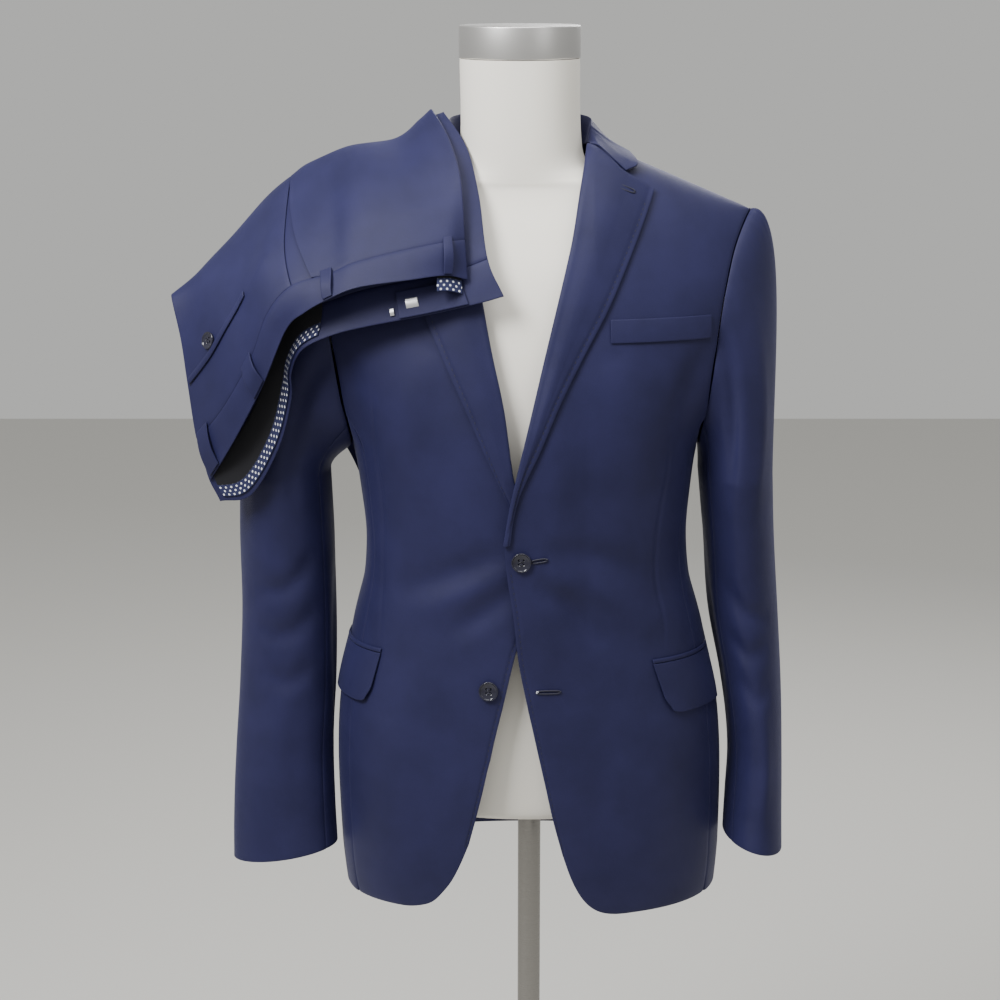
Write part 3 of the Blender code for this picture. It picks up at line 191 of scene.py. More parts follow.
# trousers, outer half: lines down the cloth from the front crease to the centre-back seam;
# each gives x, y, z over the shoulder, then at the ridge, two places below, the waist seam and the waist edge
OUTER_HALF = (
    ((-.0860, .032, 1.508), (-.0890, .000, 1.518), (-.0720, -.045, 1.494),
     (-.0600, -.085, 1.458), (-.0560, -.115, 1.404), (-.0540, -.128, 1.368)),
    ((-.0990, .032, 1.500), (-.1000, .000, 1.508), (-.0850, -.050, 1.483),
     (-.0760, -.090, 1.448), (-.0740, -.125, 1.403), (-.0740, -.138, 1.373)),
    ((-.1260, .032, 1.484), (-.1260, .000, 1.490), (-.1180, -.055, 1.471),
     (-.1120, -.095, 1.440), (-.1090, -.130, 1.397), (-.1070, -.146, 1.370)),
    ((-.1720, .032, 1.474), (-.1740, .000, 1.481), (-.1690, -.050, 1.459),
     (-.1630, -.095, 1.425), (-.1590, -.130, 1.385), (-.1560, -.146, 1.363)),
    ((-.2090, .030, 1.458), (-.2100, .000, 1.466), (-.2010, -.050, 1.440),
     (-.1930, -.092, 1.410), (-.1850, -.127, 1.374), (-.1840, -.143, 1.352)),
    ((-.2280, .028, 1.445), (-.2290, -.005, 1.453), (-.2310, -.052, 1.422),
     (-.2300, -.092, 1.391), (-.2220, -.122, 1.361), (-.2090, -.134, 1.337)),
    ((-.2560, .024, 1.420), (-.2580, -.010, 1.430), (-.2580, -.056, 1.401),
     (-.2560, -.092, 1.372), (-.2460, -.118, 1.334), (-.2280, -.126, 1.319)),
    ((-.2890, .018, 1.384), (-.2910, -.015, 1.392), (-.2850, -.060, 1.363),
     (-.2790, -.088, 1.332), (-.2650, -.110, 1.288), (-.2530, -.117, 1.264)),
    ((-.3200, .012, 1.352), (-.3210, -.020, 1.360), (-.3120, -.055, 1.327),
     (-.3040, -.077, 1.291), (-.2940, -.092, 1.239), (-.2850, -.098, 1.206)),
    ((-.3500, .008, 1.326), (-.3510, -.022, 1.336), (-.3410, -.040, 1.295),
     (-.3350, -.050, 1.252), (-.3270, -.060, 1.197), (-.3150, -.066, 1.158)),
)
# trousers, inner half: its place along the outer half, then the waist seam and the waist edge
INNER_HALF = (
    (0.00, (-.0340, -.116, 1.386), (-.0190, -.131, 1.352)),
    (0.70, (-.0590, -.117, 1.377), (-.0480, -.131, 1.344)),
    (2.00, (-.1030, -.117, 1.367), (-.0970, -.130, 1.333)),
    (3.00, (-.1500, -.114, 1.357), (-.1470, -.126, 1.323)),
    (4.00, (-.1800, -.110, 1.347), (-.1850, -.122, 1.313)),
    (5.00, (-.2120, -.105, 1.334), (-.2150, -.114, 1.297)),
    (5.70, (-.2310, -.099, 1.311), (-.2270, -.106, 1.272)),
    (6.40, (-.2430, -.094, 1.280), (-.2280, -.099, 1.245)),
    (7.40, (-.2580, -.086, 1.234), (-.2430, -.091, 1.195)),
    (8.30, (-.2870, -.074, 1.187), (-.2730, -.079, 1.146)),
    (9.00, (-.3200, -.061, 1.172), (-.3060, -.064, 1.136)),
)
# front crease of the inner half, from behind the ridge down to the waist seam
INNER_CREASE = ((-.0745, .030, 1.511), (-.0745, .000, 1.5145),
                (-.0530, -.040, 1.485), (-.0415, -.078, 1.4425))
INNER_DEPTH = (0.0044, 0.0044, 0.0056, 0.0090)  # the inner half lies this far under the outer one's rows
# rows of the two halves: behind the ridge, the ridge, two places below it, the waist seam and the waist edge
WAIST_SEAM_ROW = 4
SIDE_SEAM_LINE = 5
POCKET_MOUTH_SHIFT = 0.55  # the slant pocket's mouth leaves the side seam by this many lines at the waist
POCKET_TOP_ROW = 1.0       # row where the mouth meets the side seam
FACING_DEPTH = 0.0017      # the facing lies this far under the outer face
FACING_TUCK = 0.22         # and reaches this many lines in under the mouth
FACING_CLOTH = 0.0010
CURTAIN_CLOTH = 0.0010
TRIM_CLOTH = 0.0014
CREASE_DEPTH = 0.0034      # the front crease's fold turns under by this much
CREASE_REACH = 0.0045
LOOP_HALF = 0.17           # half width of a belt loop, in lines
LOOP_LIFT = 0.0019
LOOP_BOW = 0.0028
# folded legs behind the shoulder: outer edge and inner edge of the pile, down to the knee fold
LEGS_OUTER = ((-.3360, .052, 1.300), (-.2960, .098, 1.258), (-.2420, .131, 1.214),
              (-.1960, .146, 1.160), (-.1680, .148, 1.105))
LEGS_INNER = ((-.0640, .078, 1.484), (-.0400, .116, 1.422), (-.0060, .141, 1.330),
              (.0350, .144, 1.210), (.0700, .144, 1.098))
LEGS_CROWN = 0.012
LEGS_THICKNESS = 0.013
LEGS_LAYERS = 4
LAYER_BULGE = 0.0022
CORE_ROWS = (-0.030, -0.010, 0.010, 0.024)   # where the pile lies on the shoulder, front to back
CORE_LINES = (1.10, 8.8)   # first and last line that it reaches under the outer half
CORE_DEPTH = 0.0080        # the pile's top lies this far under the outer half's face
CORE_THICKNESS = 0.009     # beyond the shoulder
CORE_TALL = 0.030          # at most, on the shoulder
CORE_CLEARANCE = 0.0012    # over the jacket's shoulder
CORE_ON_SHOULDER_X = -0.206
COLLAR_REACH_X = -0.130    # nearer than this to the neck, the pile lies on the collar
COLLAR_TOP_Z = 1.4885

# pockets, buttons and other trim
WELT = {"inner": 0.083, "outer": 0.182, "low": 1.304, "tall": 0.0225}
LEFT_FLAP = {"front": 0.667, "back": 1.430, "top": 0.980, "rise": -0.003, "tall": 0.053, "slant": 0.06}
RIGHT_FLAP = {"front": 0.880, "back": 1.600, "top": 0.986, "rise": -0.004, "tall": 0.053, "slant": 0.04}
JET_TALL = 0.0045
BUTTON_RADIUS = 0.0098
BUTTON_THICKNESS = 0.0034
BACK_BUTTON_RADIUS = 0.0085
TOP_BUTTON = (-0.0060, 1.093)
LOWER_BUTTON = (0.0400, 0.960)
# stand
CAP_RADIUS = 0.0600
CAP_TALL = 0.0315
CAP_SEAT_Z = 1.5690
POLE_RADIUS = 0.0120
BASE_RADIUS = 0.1900
BASE_TALL = 0.0100
FORM_FLOOR_Z = 0.812


# ---------------------------------------------------------------- choices
class Side(Enum):
    """The wearer's sides; the value mirrors a piece drawn for the left."""

    LEFT = 1
    RIGHT = -1


class Held(Enum):
    """How a sheet of cloth is held."""

    DRAPED = "draped"
    LAID = "laid"


class Stitch(Enum):
    """Length, half width and spacing of a kind of stitch, in metres."""

    PICK = (0.0026, 0.00062, 0.0062)


# ---------------------------------------------------------------- curves
def through(points: Sequence, places: Grid) -> Grid:
    """Reads a smooth curve through a list of points.

    Args:
        points: The curve's points, in order.
        places: Places from 0 to 1 along the list, in an array of any shape.

    Returns:
        The points at those places.
    """
    points = np.asarray(points, float)
    last = len(points) - 1
    padded = np.concatenate([2 * points[:1] - points[1:2], points, 2 * points[-1:] - points[-2:-1]])
    place = np.clip(np.asarray(places, float), 0, 1) * last
    start = np.minimum(place.astype(int), last - 1)
    part = (place - start).reshape(place.shape + (1,) * (points.ndim - 1))
    before, here, there, after = (padded[start + step] for step in range(4))
    return 0.5 * (2 * here + (there - before) * part
                  + (2 * before - 5 * here + 4 * there - after) * part ** 2
                  + (3 * here - before - 3 * there + after) * part ** 3)


def along(points: Sequence, places: Grid) -> Grid:
    """Reads the same curve at shares of its length."""
    fine = np.linspace(0, 1, 401)
    curve = through(points, fine)
    run = np.concatenate([[0], np.cumsum(np.linalg.norm(np.diff(curve, axis=0), axis=1))])
    return through(points, np.interp(np.asarray(places) * run[-1], run, fine))


def at_height(table: Sequence, height: Grid) -> Grid:
    """Reads a section table smoothly at heights.

    Args:
        table: Rows that start with their height, in order of height.
        height: Heights to read at.

    Returns:
        The other columns' values at those heights.
    """
    rows = np.array(table, float)
    if rows[0, 0] > rows[-1, 0]:
        rows = rows[::-1]
    place = np.interp(height, rows[:, 0], np.arange(len(rows))) / (len(rows) - 1)
    return through(rows[:, 1:], place)


def ease(low: float, high: float, value: Grid) -> Grid:
    """0 below low, 1 above high, smooth between."""
    part = np.clip((np.asarray(value, float) - low) / (high - low), 0.0, 1.0)
    return part * part * (3 - 2 * part)


def unit(vectors: Grid) -> Grid:
    """The vectors at length 1."""
    return vectors / np.maximum(np.linalg.norm(vectors, axis=-1, keepdims=True), 1e-12)


def filled(left: Sequence, right: Sequence, bottom: Sequence, top: Sequence) -> Grid:
    """Fills a grid of places between four borders, rows from bottom to top.

    Args:
        left: Places up the first border.
        right: Places up the last border, as many.
        bottom: Places along the lowest row.
        top: Places along the highest row, as many.

    Returns:
        The grid of places.
    """
    left, right, bottom, top = (np.asarray(side, float) for side in (left, right, bottom, top))
    up = np.linspace(0, 1, len(left))[:, None, None]
    over = np.linspace(0, 1, len(bottom))[None, :, None]
    return ((1 - over) * left[:, None] + over * right[:, None] + (1 - up) * bottom[None] + up * top[None]
            - (1 - over) * (1 - up) * bottom[0] - over * (1 - up) * bottom[-1]
            - (1 - over) * up * top[0] - over * up * top[-1])


def grid_normals(grid: Grid) -> Grid:
    """Unit normals of a grid, columns crossed with rows."""
    return unit(np.cross(np.gradient(grid, axis=1), np.gradient(grid, axis=0)))


def arcs(grid: Grid) -> tuple[Grid, Grid]:
    """Lengths run along the rows and down the columns of a grid.

    Args:
        grid: Points, in metres.

    Returns:
        The run along each row and the run down each column, at every point.
    """
    over = np.zeros(grid.shape[:2])
    down = np.zeros(grid.shape[:2])
    over[:, 1:] = np.cumsum(np.linalg.norm(np.diff(grid, axis=1), axis=2), axis=1)
    down[1:] = np.cumsum(np.linalg.norm(np.diff(grid, axis=0), axis=2), axis=0)
    return over, down


def leaned(grid: Grid) -> Grid:
    """The lean of the form, and of all it carries, on its pole."""
    grid = np.array(grid, float)
    grid[..., 0] += LEAN * (grid[..., 2] - LEAN_Z)
    return grid


@dataclass(frozen=True)
class Fold:
    """A soft ridge (depth above 0) or trough of the cloth along a short curve of places."""

    path: tuple
    width: float
    depth: float

    def height(self, u: Grid, v: Grid) -> Grid:
        """The fold's height, tapered at both ends.

        Args:
            u: First measure of the places.
            v: Second measure of the places.

        Returns:
            Heights over those places.
        """
        curve = through(self.path, np.linspace(0, 1, 25))
        starts, steps = curve[:-1], np.diff(curve, axis=0)
        places = np.stack([u, v], axis=-1)
        nearest = np.full(u.shape, 1e9)
        share = np.zeros(u.shape)
        for number, (start, step) in enumerate(zip(starts, steps)):
            part = np.clip(((places - start) @ step) / (step @ step), 0, 1)
            gap = np.linalg.norm(places - start - part[..., None] * step, axis=-1)
            closer = gap < nearest
            nearest = np.where(closer, gap, nearest)
            share = np.where(closer, (number + part) / len(steps), share)
        taper = np.sin(np.pi * np.clip(share, 0.02, 0.98)) ** 0.6
        return self.depth * taper * np.exp(-(nearest / self.width) ** 2)


def fold_height(folds: Iterable[Fold], u: Grid, v: Grid) -> Grid:
    """Sum of the folds' heights over places u, v."""
    total = np.zeros(np.shape(u))
    for fold in folds:
        total = total + fold.height(u, v)
    return total


# ---------------------------------------------------------------- finishes
class Nodes:
    """A small helper that adds nodes to a tree and links them."""

    def __init__(self, tree: bpy.types.NodeTree) -> None:
        """Keeps the tree."""
        self.tree = tree

    def add(self, kind: str, settings: dict | None = None, **inputs) -> bpy.types.Node:
        """Adds a node.

        Args:
            kind: The node's type name.
            settings: Properties of the node.
            **inputs: Values or output sockets for its inputs, by name with _ for a space.

        Returns:
            The node.
        """
        node = self.tree.nodes.new(kind)
        for name, value in (settings or {}).items():
            setattr(node, name, value)
        for name, value in inputs.items():
            key = int(name[1:]) if name[0] == "i" and name[1:].isdigit() else name.replace("_", " ")
            self.feed(node.inputs[key], value)
        return node

    def feed(self, socket: bpy.types.NodeSocket, value: object) -> None:
        """Links an output socket to an input, or sets the input's own value."""
        if isinstance(value, bpy.types.NodeSocket):
            self.tree.links.new(value, socket)
        else:
            socket.default_value = value

    def math(self, operation: str, *values) -> bpy.types.NodeSocket:
        """Adds a Math node on values or sockets, and gives its result."""
        node = self.add("ShaderNodeMath", {"operation": operation})
        for socket, value in zip(node.inputs, values):
            self.feed(socket, value)
        return node.outputs[0]


def new_group(name: str, inputs: dict,
              outputs: dict) -> tuple[bpy.types.NodeTree, Nodes, dict, bpy.types.Node]:
    """Starts a shader node group with named sockets.

    Args:
        name: The group's name.
        inputs: Socket type and first value by name.
        outputs: Socket type by name.

    Returns:
        The group, a helper for it, its input sockets by name and its output node.
    """
    tree = bpy.data.node_groups.new(name, "ShaderNodeTree")
    for socket, (kind, value) in inputs.items():
        made = tree.interface.new_socket(socket, in_out="INPUT", socket_type=f"NodeSocket{kind}")
        made.default_value = value
    for socket, kind in outputs.items():
        tree.interface.new_socket(socket, in_out="OUTPUT", socket_type=f"NodeSocket{kind}")
    source = tree.nodes.new("NodeGroupInput")
    return tree, Nodes(tree), {made.name: made for made in source.outputs}, tree.nodes.new("NodeGroupOutput")


def weave_group() -> bpy.types.NodeTree:
    """Woven or knitted cloth: thread height by the piece's own map, and a slow drift of its colour."""
    if "cloth_weave" in bpy.data.node_groups:
        return bpy.data.node_groups["cloth_weave"]
    tree, nodes, given, out = new_group(
        "cloth_weave",
        {"Threads": ("Float", 2000.0), "Light": ("Color", (1, 1, 1, 1)), "Dark": ("Color", (0, 0, 0, 1)),
         "Drift": ("Float", 18.0)},
        {"Color": "Color", "Height": "Float"})
    place = nodes.add("ShaderNodeTexCoord").outputs
    parts = nodes.add("ShaderNodeSeparateXYZ", Vector=place["UV"]).outputs
    over = nodes.math("MULTIPLY", parts[0], given["Threads"])
    down = nodes.math("MULTIPLY", parts[1], given["Threads"])
    twill = nodes.math("SINE", nodes.math("ADD", over, nodes.math("MULTIPLY", down, 1.6)))
    cross = nodes.math("SINE", nodes.math("SUBTRACT", nodes.math("MULTIPLY", over, 2.1), down))
    height = nodes.math("ADD", nodes.math("MULTIPLY", twill, 0.6), nodes.math("MULTIPLY", cross, 0.25))
    slow = nodes.add("ShaderNodeTexNoise", Vector=place["Object"], Scale=given["Drift"], Detail=3.0,
                     Roughness=0.6)
    slub = nodes.add("ShaderNodeTexNoise", Vector=place["Object"], Scale=900.0, Detail=2.0, Roughness=0.7)
    mixed = nodes.math("ADD", nodes.math("MULTIPLY", slow.outputs["Fac"], 0.62),
                       nodes.math("MULTIPLY", slub.outputs["Fac"], 0.38))
    ramp = nodes.add("ShaderNodeMapRange", Value=mixed, From_Min=0.36, From_Max=0.64)
    blend = nodes.add("ShaderNodeMix", {"data_type": "RGBA"})
    nodes.feed(blend.inputs["Factor"], ramp.outputs[0])
    nodes.feed(blend.inputs[6], given["Dark"])
    nodes.feed(blend.inputs[7], given["Light"])
    nodes.feed(out.inputs["Color"], blend.outputs[2])
    slubs = nodes.math("MULTIPLY", slub.outputs["Fac"], 1.2)
    nodes.feed(out.inputs["Height"], nodes.math("ADD", height, slubs))
    return tree


def dots_group() -> bpy.types.NodeTree:
    """Small round dots in staggered rows, by the piece's own map in metres."""
    if "staggered_dots" in bpy.data.node_groups:
        return bpy.data.node_groups["staggered_dots"]
    tree, nodes, given, out = new_group(
        "staggered_dots", {"Pitch": ("Float", 0.005), "Radius": ("Float", 0.2)}, {"Mask": "Float"})
    place = nodes.add("ShaderNodeTexCoord").outputs["UV"]
    parts = nodes.add("ShaderNodeSeparateXYZ", Vector=place).outputs
    down = nodes.math("DIVIDE", parts[1], nodes.math("MULTIPLY", given["Pitch"], 0.62))
    row = nodes.math("FLOOR", down)
    shift = nodes.math("MULTIPLY", nodes.math("MODULO", row, 2.0), 0.5)
    over = nodes.math("ADD", nodes.math("DIVIDE", parts[0], given["Pitch"]), shift)
    du = nodes.math("SUBTRACT", nodes.math("FRACT", over), 0.5)
    dv = nodes.math("MULTIPLY", nodes.math("SUBTRACT", nodes.math("FRACT", down), 0.5), 0.62)
    square = nodes.math("ADD", nodes.math("MULTIPLY", du, du), nodes.math("MULTIPLY", dv, dv))
    far = nodes.math("SQRT", square)
    edge = nodes.add("ShaderNodeMapRange", Value=nodes.math("SUBTRACT", given["Radius"], far),
                     From_Min=-0.02, From_Max=0.02)
    nodes.feed(out.inputs["Mask"], edge.outputs[0])
    return tree


@dataclass(frozen=True)
class Finish:
    """A plain finish: colour, roughness and metallic value."""

    name: str
    slot: str
    colour: tuple = (0.5, 0.5, 0.5, 1)
    roughness: float = 0.5
    metallic: float = 0.0

    def start(self) -> tuple[Nodes, bpy.types.Node]:
        """Makes the material, and gives its nodes and its shader, set to the plain values."""
        made = bpy.data.materials.new(self.name)
        made.use_nodes = True
        shader = made.node_tree.nodes["Principled BSDF"]
        shader.inputs["Base Color"].default_value = self.colour
        shader.inputs["Roughness"].default_value = self.roughness
        shader.inputs["Metallic"].default_value = self.metallic
        return Nodes(made.node_tree), shader

    def dress(self, nodes: Nodes, shader: bpy.types.Node) -> None:
        """Adds what the plain values don't say. A plain finish has nothing to add."""

    def material(self) -> bpy.types.Material:
        """The finish's material, made once."""
        if self.name not in bpy.data.materials:
            self.dress(*self.start())
        return bpy.data.materials[self.name]


@dataclass(frozen=True)
class Cloth(Finish):
    """Woven cloth: threads, drift of colour and a sheen."""

    dark: tuple = (0.02, 0.02, 0.05, 1)
    threads: float = 9000.0
    relief: float = 0.00005
    sheen: float = 0.3
    sheen_tint: tuple = (0.4, 0.42, 0.8, 1)
    sheen_roughness: float = 0.4
    specular: float = 0.3

    def dress(self, nodes: Nodes, shader: bpy.types.Node) -> None:
        """Threads in the normal, drift in the colour, sheen on the shader itself.

        Args:
            nodes: The material's nodes.
            shader: Its Principled BSDF.
        """
        group = nodes.add("ShaderNodeGroup", {"node_tree": weave_group()}, Threads=self.threads,
                          Light=self.colour, Dark=self.dark)
        bump = nodes.add("ShaderNodeBump", Strength=0.5, Distance=self.relief, Height=group.outputs["Height"])
        nodes.feed(shader.inputs["Base Color"], group.outputs["Color"])
        nodes.feed(shader.inputs["Normal"], bump.outputs["Normal"])
        shader.inputs["Sheen Weight"].default_value = self.sheen
        shader.inputs["Sheen Tint"].default_value = self.sheen_tint
        shader.inputs["Sheen Roughness"].default_value = self.sheen_roughness
        shader.inputs["Specular IOR Level"].default_value = self.specular


@dataclass(frozen=True)
class DottedCotton(Cloth):
    """Printed cotton with small dots, and near-black painted shade of the trousers' inside beyond the strip
    beside its sewn edge.
    """

    dot: tuple = (0.72, 0.72, 0.76, 1)
    # Near-black colour beyond the dotted strip: painted shade of the trousers' inside.
    painted_shade: tuple = (0.004, 0.004, 0.006, 1)

    def dress(self, nodes: Nodes, shader: bpy.types.Node) -> None:
        """The woven ground with dots over its colour, and near-black painted shade beyond the dotted strip.

        Args:
            nodes: The material's nodes.
            shader: Its Principled BSDF.
        """
        super().dress(nodes, shader)
        ground = shader.inputs["Base Color"].links[0].from_socket
        mask = nodes.add("ShaderNodeGroup", {"node_tree": dots_group()}, Pitch=DOT_PITCH, Radius=DOT_RADIUS)
        blend = nodes.add("ShaderNodeMix", {"data_type": "RGBA"})
        nodes.feed(blend.inputs["Factor"], mask.outputs["Mask"])
        nodes.feed(blend.inputs[6], ground)
        nodes.feed(blend.inputs[7], self.dot)
        place = nodes.add("ShaderNodeTexCoord").outputs["UV"]
        down = nodes.add("ShaderNodeSeparateXYZ", Vector=place).outputs[1]
        # Past the dotted strip the colour turns to the near-black painted shade of the trousers' inside.
        painted_shade_mask = nodes.math("GREATER_THAN", down, DOTTED_WIDTH)
        inside = nodes.add("ShaderNodeMix", {"data_type": "RGBA"})
        nodes.feed(inside.inputs["Factor"], painted_shade_mask)
        nodes.feed(inside.inputs[6], blend.outputs[2])
        nodes.feed(inside.inputs[7], self.painted_shade)
        nodes.feed(shader.inputs["Base Color"], inside.outputs[2])


@dataclass(frozen=True)
class Brushed(Finish):
    """Steel brushed round its axis."""

    lines: float = 700.0

    def dress(self, nodes: Nodes, shader: bpy.types.Node) -> None:
        """Fine lines round the axis in the roughness and the normal.

        Args:
            nodes: The material's nodes.
            shader: Its Principled BSDF.
        """
        place = nodes.add("ShaderNodeTexCoord").outputs["Object"]
        drawn = nodes.add("ShaderNodeMapping", Vector=place, Scale=(4.0, 4.0, self.lines))
        noise = nodes.add("ShaderNodeTexNoise", Vector=drawn.outputs[0], Scale=2.0, Detail=3.0)
        rough = nodes.add("ShaderNodeMapRange", Value=noise.outputs["Fac"], From_Min=0.3, From_Max=0.7,
                          To_Min=self.roughness - 0.07, To_Max=self.roughness + 0.1)
        bump = nodes.add("ShaderNodeBump", Strength=0.25, Distance=0.00004, Height=noise.outputs["Fac"])
        nodes.feed(shader.inputs["Roughness"], rough.outputs[0])
        nodes.feed(shader.inputs["Normal"], bump.outputs["Normal"])
        shader.inputs["Anisotropic"].default_value = 0.5


WOOL = Cloth("worsted_wool", "suit_wool", (0.0150, 0.0152, 0.060, 1), 0.55, dark=(0.0100, 0.0104, 0.043, 1),
             sheen=0.10, specular=0.22)
CURTAIN = DottedCotton("dotted_cotton", "curtain_cotton", (0.018, 0.022, 0.075, 1), 0.75,
                       dark=(0.012, 0.015, 0.05, 1), sheen=0.15)
THREAD = Finish("thread", "suit_wool", (0.007, 0.007, 0.022, 1), 0.55)
PALE_THREAD = Finish("pale_thread", "suit_wool", (0.55, 0.56, 0.62, 1), 0.6)
HORN = Finish("button_horn", "button_horn", (0.008, 0.009, 0.020, 1), 0.30)
HOOK = Finish("hook_metal", "hook_metal", (0.30, 0.30, 0.31, 1), 0.30, 1.0)
# A darker copy of the brushed steel for the pole and base plate: its lower colour is painted dark reflection.
POLE_STEEL_PAINTED_DARK = Brushed("pole_steel", "brushed_steel", (0.26, 0.25, 0.235, 1), 0.30, 1.0)
STEEL = Brushed("brushed_steel", "brushed_steel", (0.46, 0.45, 0.43, 1), 0.25, 1.0)
JERSEY = Cloth("form_jersey", "form_jersey", (0.90, 0.85, 0.73, 1), 0.85, dark=(0.86, 0.81, 0.69, 1),
               threads=4200.0, relief=0.00010, sheen=0.1, sheen_tint=(1, 1, 1, 1))


# ---------------------------------------------------------------- making pieces
def finished(name: str, mesh_data: bmesh.types.BMesh, finish: Finish,
             nodes: Sequence[str] = ()) -> bpy.types.Object:
    """Puts a bmesh in the scene as a piece of the suit.

    Args:
        name: The piece's name.
        mesh_data: Its mesh, in place.
        finish: Its finish.
        nodes: The CAD nodes that it stands for.

    Returns:
        The object.
    """
    mesh = bpy.data.meshes.new(name)
    mesh_data.to_mesh(mesh)
    mesh_data.free()
    mesh.materials.append(finish.material())
    mesh.shade_smooth()
    mesh.set_sharp_from_angle(angle=math.radians(45))
    made = bpy.data.objects.new(name, mesh)
    bpy.context.collection.objects.link(made)
    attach(made, "root")
    if nodes:
        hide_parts(*nodes)
    return made


def sheet_mesh(grid: Grid) -> bmesh.types.BMesh:
    """A bmesh grid moved onto a grid of points, with a UV map in metres.

    Args:
        grid: The points, row by row.

    Returns:
        The mesh.
    """
    rows, columns = grid.shape[:2]
    mesh_data = bmesh.new()
    bmesh.ops.create_grid(mesh_data, x_segments=columns - 1, y_segments=rows - 1, size=1)
    over, down = arcs(grid)
    over = np.broadcast_to(over.mean(axis=0), over.shape)
    layer = mesh_data.loops.layers.uv.new("UVMap")
    places = {}
    for vertex in mesh_data.verts:
        column = round((vertex.co.x + 1) / 2 * (columns - 1))
        row = round((vertex.co.y + 1) / 2 * (rows - 1))
        places[vertex] = (over[row, column], down[row, column])
        vertex.co = grid[row, column]
    for face in mesh_data.faces:
        for loop in face.loops:
            loop[layer].uv = places[loop.vert]
    return mesh_data


@dataclass
class Piece:
    """One cut piece of cloth on its surface: outer face, outward directions and how it is held."""

    name: str
    grid: Grid
    normals: Grid
    thickness: float = CLOTH
    finish: Finish = WOOL
    seams: str = ""
    held: Held = Held.DRAPED
    rests_on: tuple = ("form_torso",)

    def dipped(self) -> Grid:
        """The outer face with its sewn borders drawn in to the seam."""
        over, down = arcs(self.grid)
        gaps = {"left": over, "right": over[:, -1:] - over, "low": down, "high": down[-1:] - down}
        dip = sum((SEAM_DIP * np.exp(-(gaps[side] / SEAM_REACH) ** 2) for side in self.seams.split()),
                  np.zeros(over.shape))
        return self.grid - self.normals * dip[..., None]

    def inside(self, side: Side, distance: float, keep: Grid | slice) -> tuple[Grid, Grid]:
        """A line that runs at a distance inside the first border (above 0) or the last one (below 0).

        Args:
            side: The side that the piece is on.
            distance: Metres from the border.
            keep: Rows that the line is read in.

        Returns:
            Its points and their outward directions, mirrored and leaned as the piece is.
        """
        over, _ = arcs(self.grid)
        place = distance if distance > 0 else over[:, -1] + distance
        place = np.broadcast_to(place, len(over))
        points, outward = (np.array([[np.interp(at, run, row[:, axis]) for axis in range(3)]
                                     for at, run, row in zip(place, over, values)])
                           for values in (self.grid, self.normals))
        return leaned(points[keep] * (side.value, 1, 1)), unit(outward[keep] * (side.value, 1, 1))

    def build(self, side: Side = Side.LEFT) -> bpy.types.Object:
        """Args:
            side: RIGHT mirrors a piece drawn for the wearer's left.

        Returns:
            The piece's object.
        """
        grid = leaned(self.dipped() * (side.value, 1, 1))
        normals = self.normals * (side.value, 1, 1)
        mesh_data = sheet_mesh(grid)
        if np.sum(grid_normals(grid) * normals) < 0:
            bmesh.ops.reverse_faces(mesh_data, faces=mesh_data.faces)
        made = finished(f"{self.name}_cloth", mesh_data, self.finish, (self.name,))
        wall = made.modifiers.new("wall", "SOLIDIFY")
        wall.thickness = self.thickness
        wall.offset = -1
        round_edge = made.modifiers.new("round_edge", "BEVEL")
        round_edge.width = self.thickness * 0.33
        round_edge.segments = 2
        round_edge.limit_method = "ANGLE"
        round_edge.angle_limit = math.radians(62)
        over, down = arcs(self.grid)
        return made


def carry(carrier: str, *names: str) -> None:
    """Parents small pieces to the cloth that they are sewn to."""
    for name in names:
        bpy.data.objects[name].parent = bpy.data.objects[carrier]


def turned(name: str, profile: Sequence, finish: Finish, segments: int, nodes: Sequence[str] = (),
           place: Matrix | None = None) -> bpy.types.Object:
    """A turned solid: radius and height from the bottom of its axis to the top.

    Args:
        name: The piece's name.
        profile: Radius and height of the outline's points, both ends on the axis.
        finish: Its finish.
        segments: Steps round the axis.
        nodes: The CAD nodes that it stands for.
        place: Where it goes.

    Returns:
        The object.
    """
    mesh_data = bmesh.new()
    vertices = [mesh_data.verts.new((radius, 0, height)) for radius, height in profile]
    edges = [mesh_data.edges.new(pair) for pair in zip(vertices, vertices[1:])]
    bmesh.ops.spin(mesh_data, geom=vertices + edges, axis=(0, 0, 1), cent=(0, 0, 0),
                   angle=2 * math.pi, steps=segments, use_merge=True)
    bmesh.ops.remove_doubles(mesh_data, verts=mesh_data.verts, dist=1e-6)
    bmesh.ops.recalc_face_normals(mesh_data, faces=mesh_data.faces)
    if place is not None:
        bmesh.ops.transform(mesh_data, matrix=place, verts=mesh_data.verts)
    return finished(name, mesh_data, finish, nodes)


